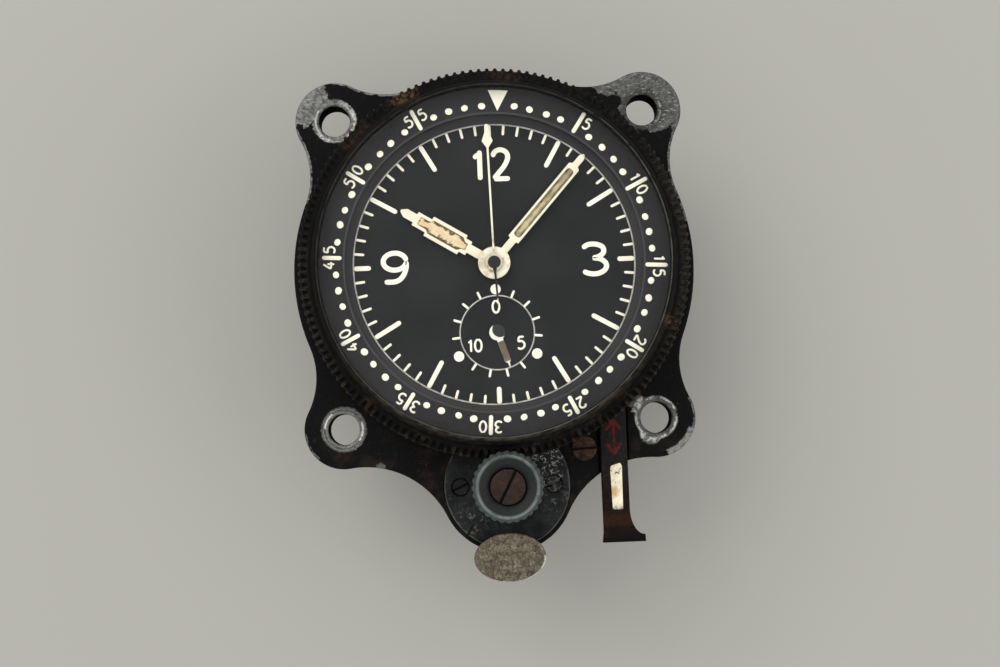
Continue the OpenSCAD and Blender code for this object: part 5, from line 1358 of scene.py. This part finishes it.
stripPart, _ = lumeFill(stripLoop(), strip["low"], 0, strip["lumps"], strip["at"], strip["rim"],
                        strip["swell"])
addPiece("leverLume", stripPart, "lever_group", leverLumePaint(), ["lever_lume"], 50)

arrow = {"x": 17.22, "top": -24.0, "low": -29.35, "width": 0.46, "barb": 1.15, "back": 1.7,
         "sunk": 0.005, "rise": 0.03}
arrowLines = [[[arrow["x"], arrow["top"]], [arrow["x"], arrow["low"]]]]
for point, way in ((arrow["top"], -1), (arrow["low"], 1)):
    for sx in (-1, 1):
        barb = [arrow["x"] + sx * arrow["barb"], point + way * arrow["back"]]
        arrowLines.append([[arrow["x"], point], barb])
arrowBase = lever["high"] - arrow["sunk"]
arrowParts = [stroke(line, arrow["width"], arrowBase, arrow["rise"], 18) for line in arrowLines]
addPiece("leverArrow", joined(arrowParts), "lever_group", arrowPaint(), sharp=80)
print("knob, pusher and lever done")


# floor and lamps, in metres, and the camera

stage = {"half": 3.0, "z": -0.024, "colour": (164, 162, 154), "rough": 0.8, "sky": (0.98, 0.99, 1.0, 1),
         "level": 0.97}
lamps = {"keyLamp": {"at": (-0.42, 0.5, 0.75), "size": 0.6, "power": 3.6},
         "fillLamp": {"at": (0.6, -0.2, 0.55), "size": 0.5, "power": 1.0}}
# the camera is at a place in millimetres, turned about one vector in degrees; focal and wide are pixels
view = {"turn": (4.3673, -0.4317, -2.2448), "at": (-1.5622, -27.6049, 233.3916), "focal": 1487.4696,
        "wide": 1000, "sensor": 36.0, "near": 0.01}

scene = bpy.context.scene
floorMesh = bpy.data.meshes.new("floor")
signs = (-1, -1), (1, -1), (1, 1), (-1, 1)
floorCorners = [(sx * stage["half"], sy * stage["half"], stage["z"]) for sx, sy in signs]
floorMesh.from_pydata(floorCorners, [], [(0, 1, 2, 3)])
floor = bpy.data.objects.new("floor", floorMesh)
scene.collection.objects.link(floor)
floorMesh.materials.append(settle(*openTree("paleFloor"), paint(*stage["colour"]), stage["rough"]))

world = bpy.data.worlds.new("studio")
world.use_nodes = True
background = world.node_tree.nodes["Background"].inputs
background["Color"].default_value = stage["sky"]
background["Strength"].default_value = stage["level"]
scene.world = world

for name, lamp in lamps.items():
    light = bpy.data.lights.new(name, "AREA")
    light.size, light.energy = lamp["size"], lamp["power"]
    holder = bpy.data.objects.new(name, light)
    holder.location = lamp["at"]
    holder.rotation_euler = (-Vector(lamp["at"])).to_track_quat("-Z", "Y").to_euler()
    scene.collection.objects.link(holder)

spin = Vector([math.radians(a) for a in view["turn"]])
camera = bpy.data.cameras.new("camera")
camera.sensor_width = view["sensor"]
camera.lens = view["focal"] / view["wide"] * view["sensor"]
camera.clip_start = view["near"]
cameraObject = bpy.data.objects.new("camera", camera)
seenFrom = Matrix.Translation(Vector(view["at"]) * milli)
cameraObject.matrix_world = seenFrom @ Matrix.Rotation(spin.length, 4, spin.normalized())
scene.collection.objects.link(cameraObject)
scene.camera = cameraObject
scene.view_settings.view_transform = "Standard"

print("scene ready")
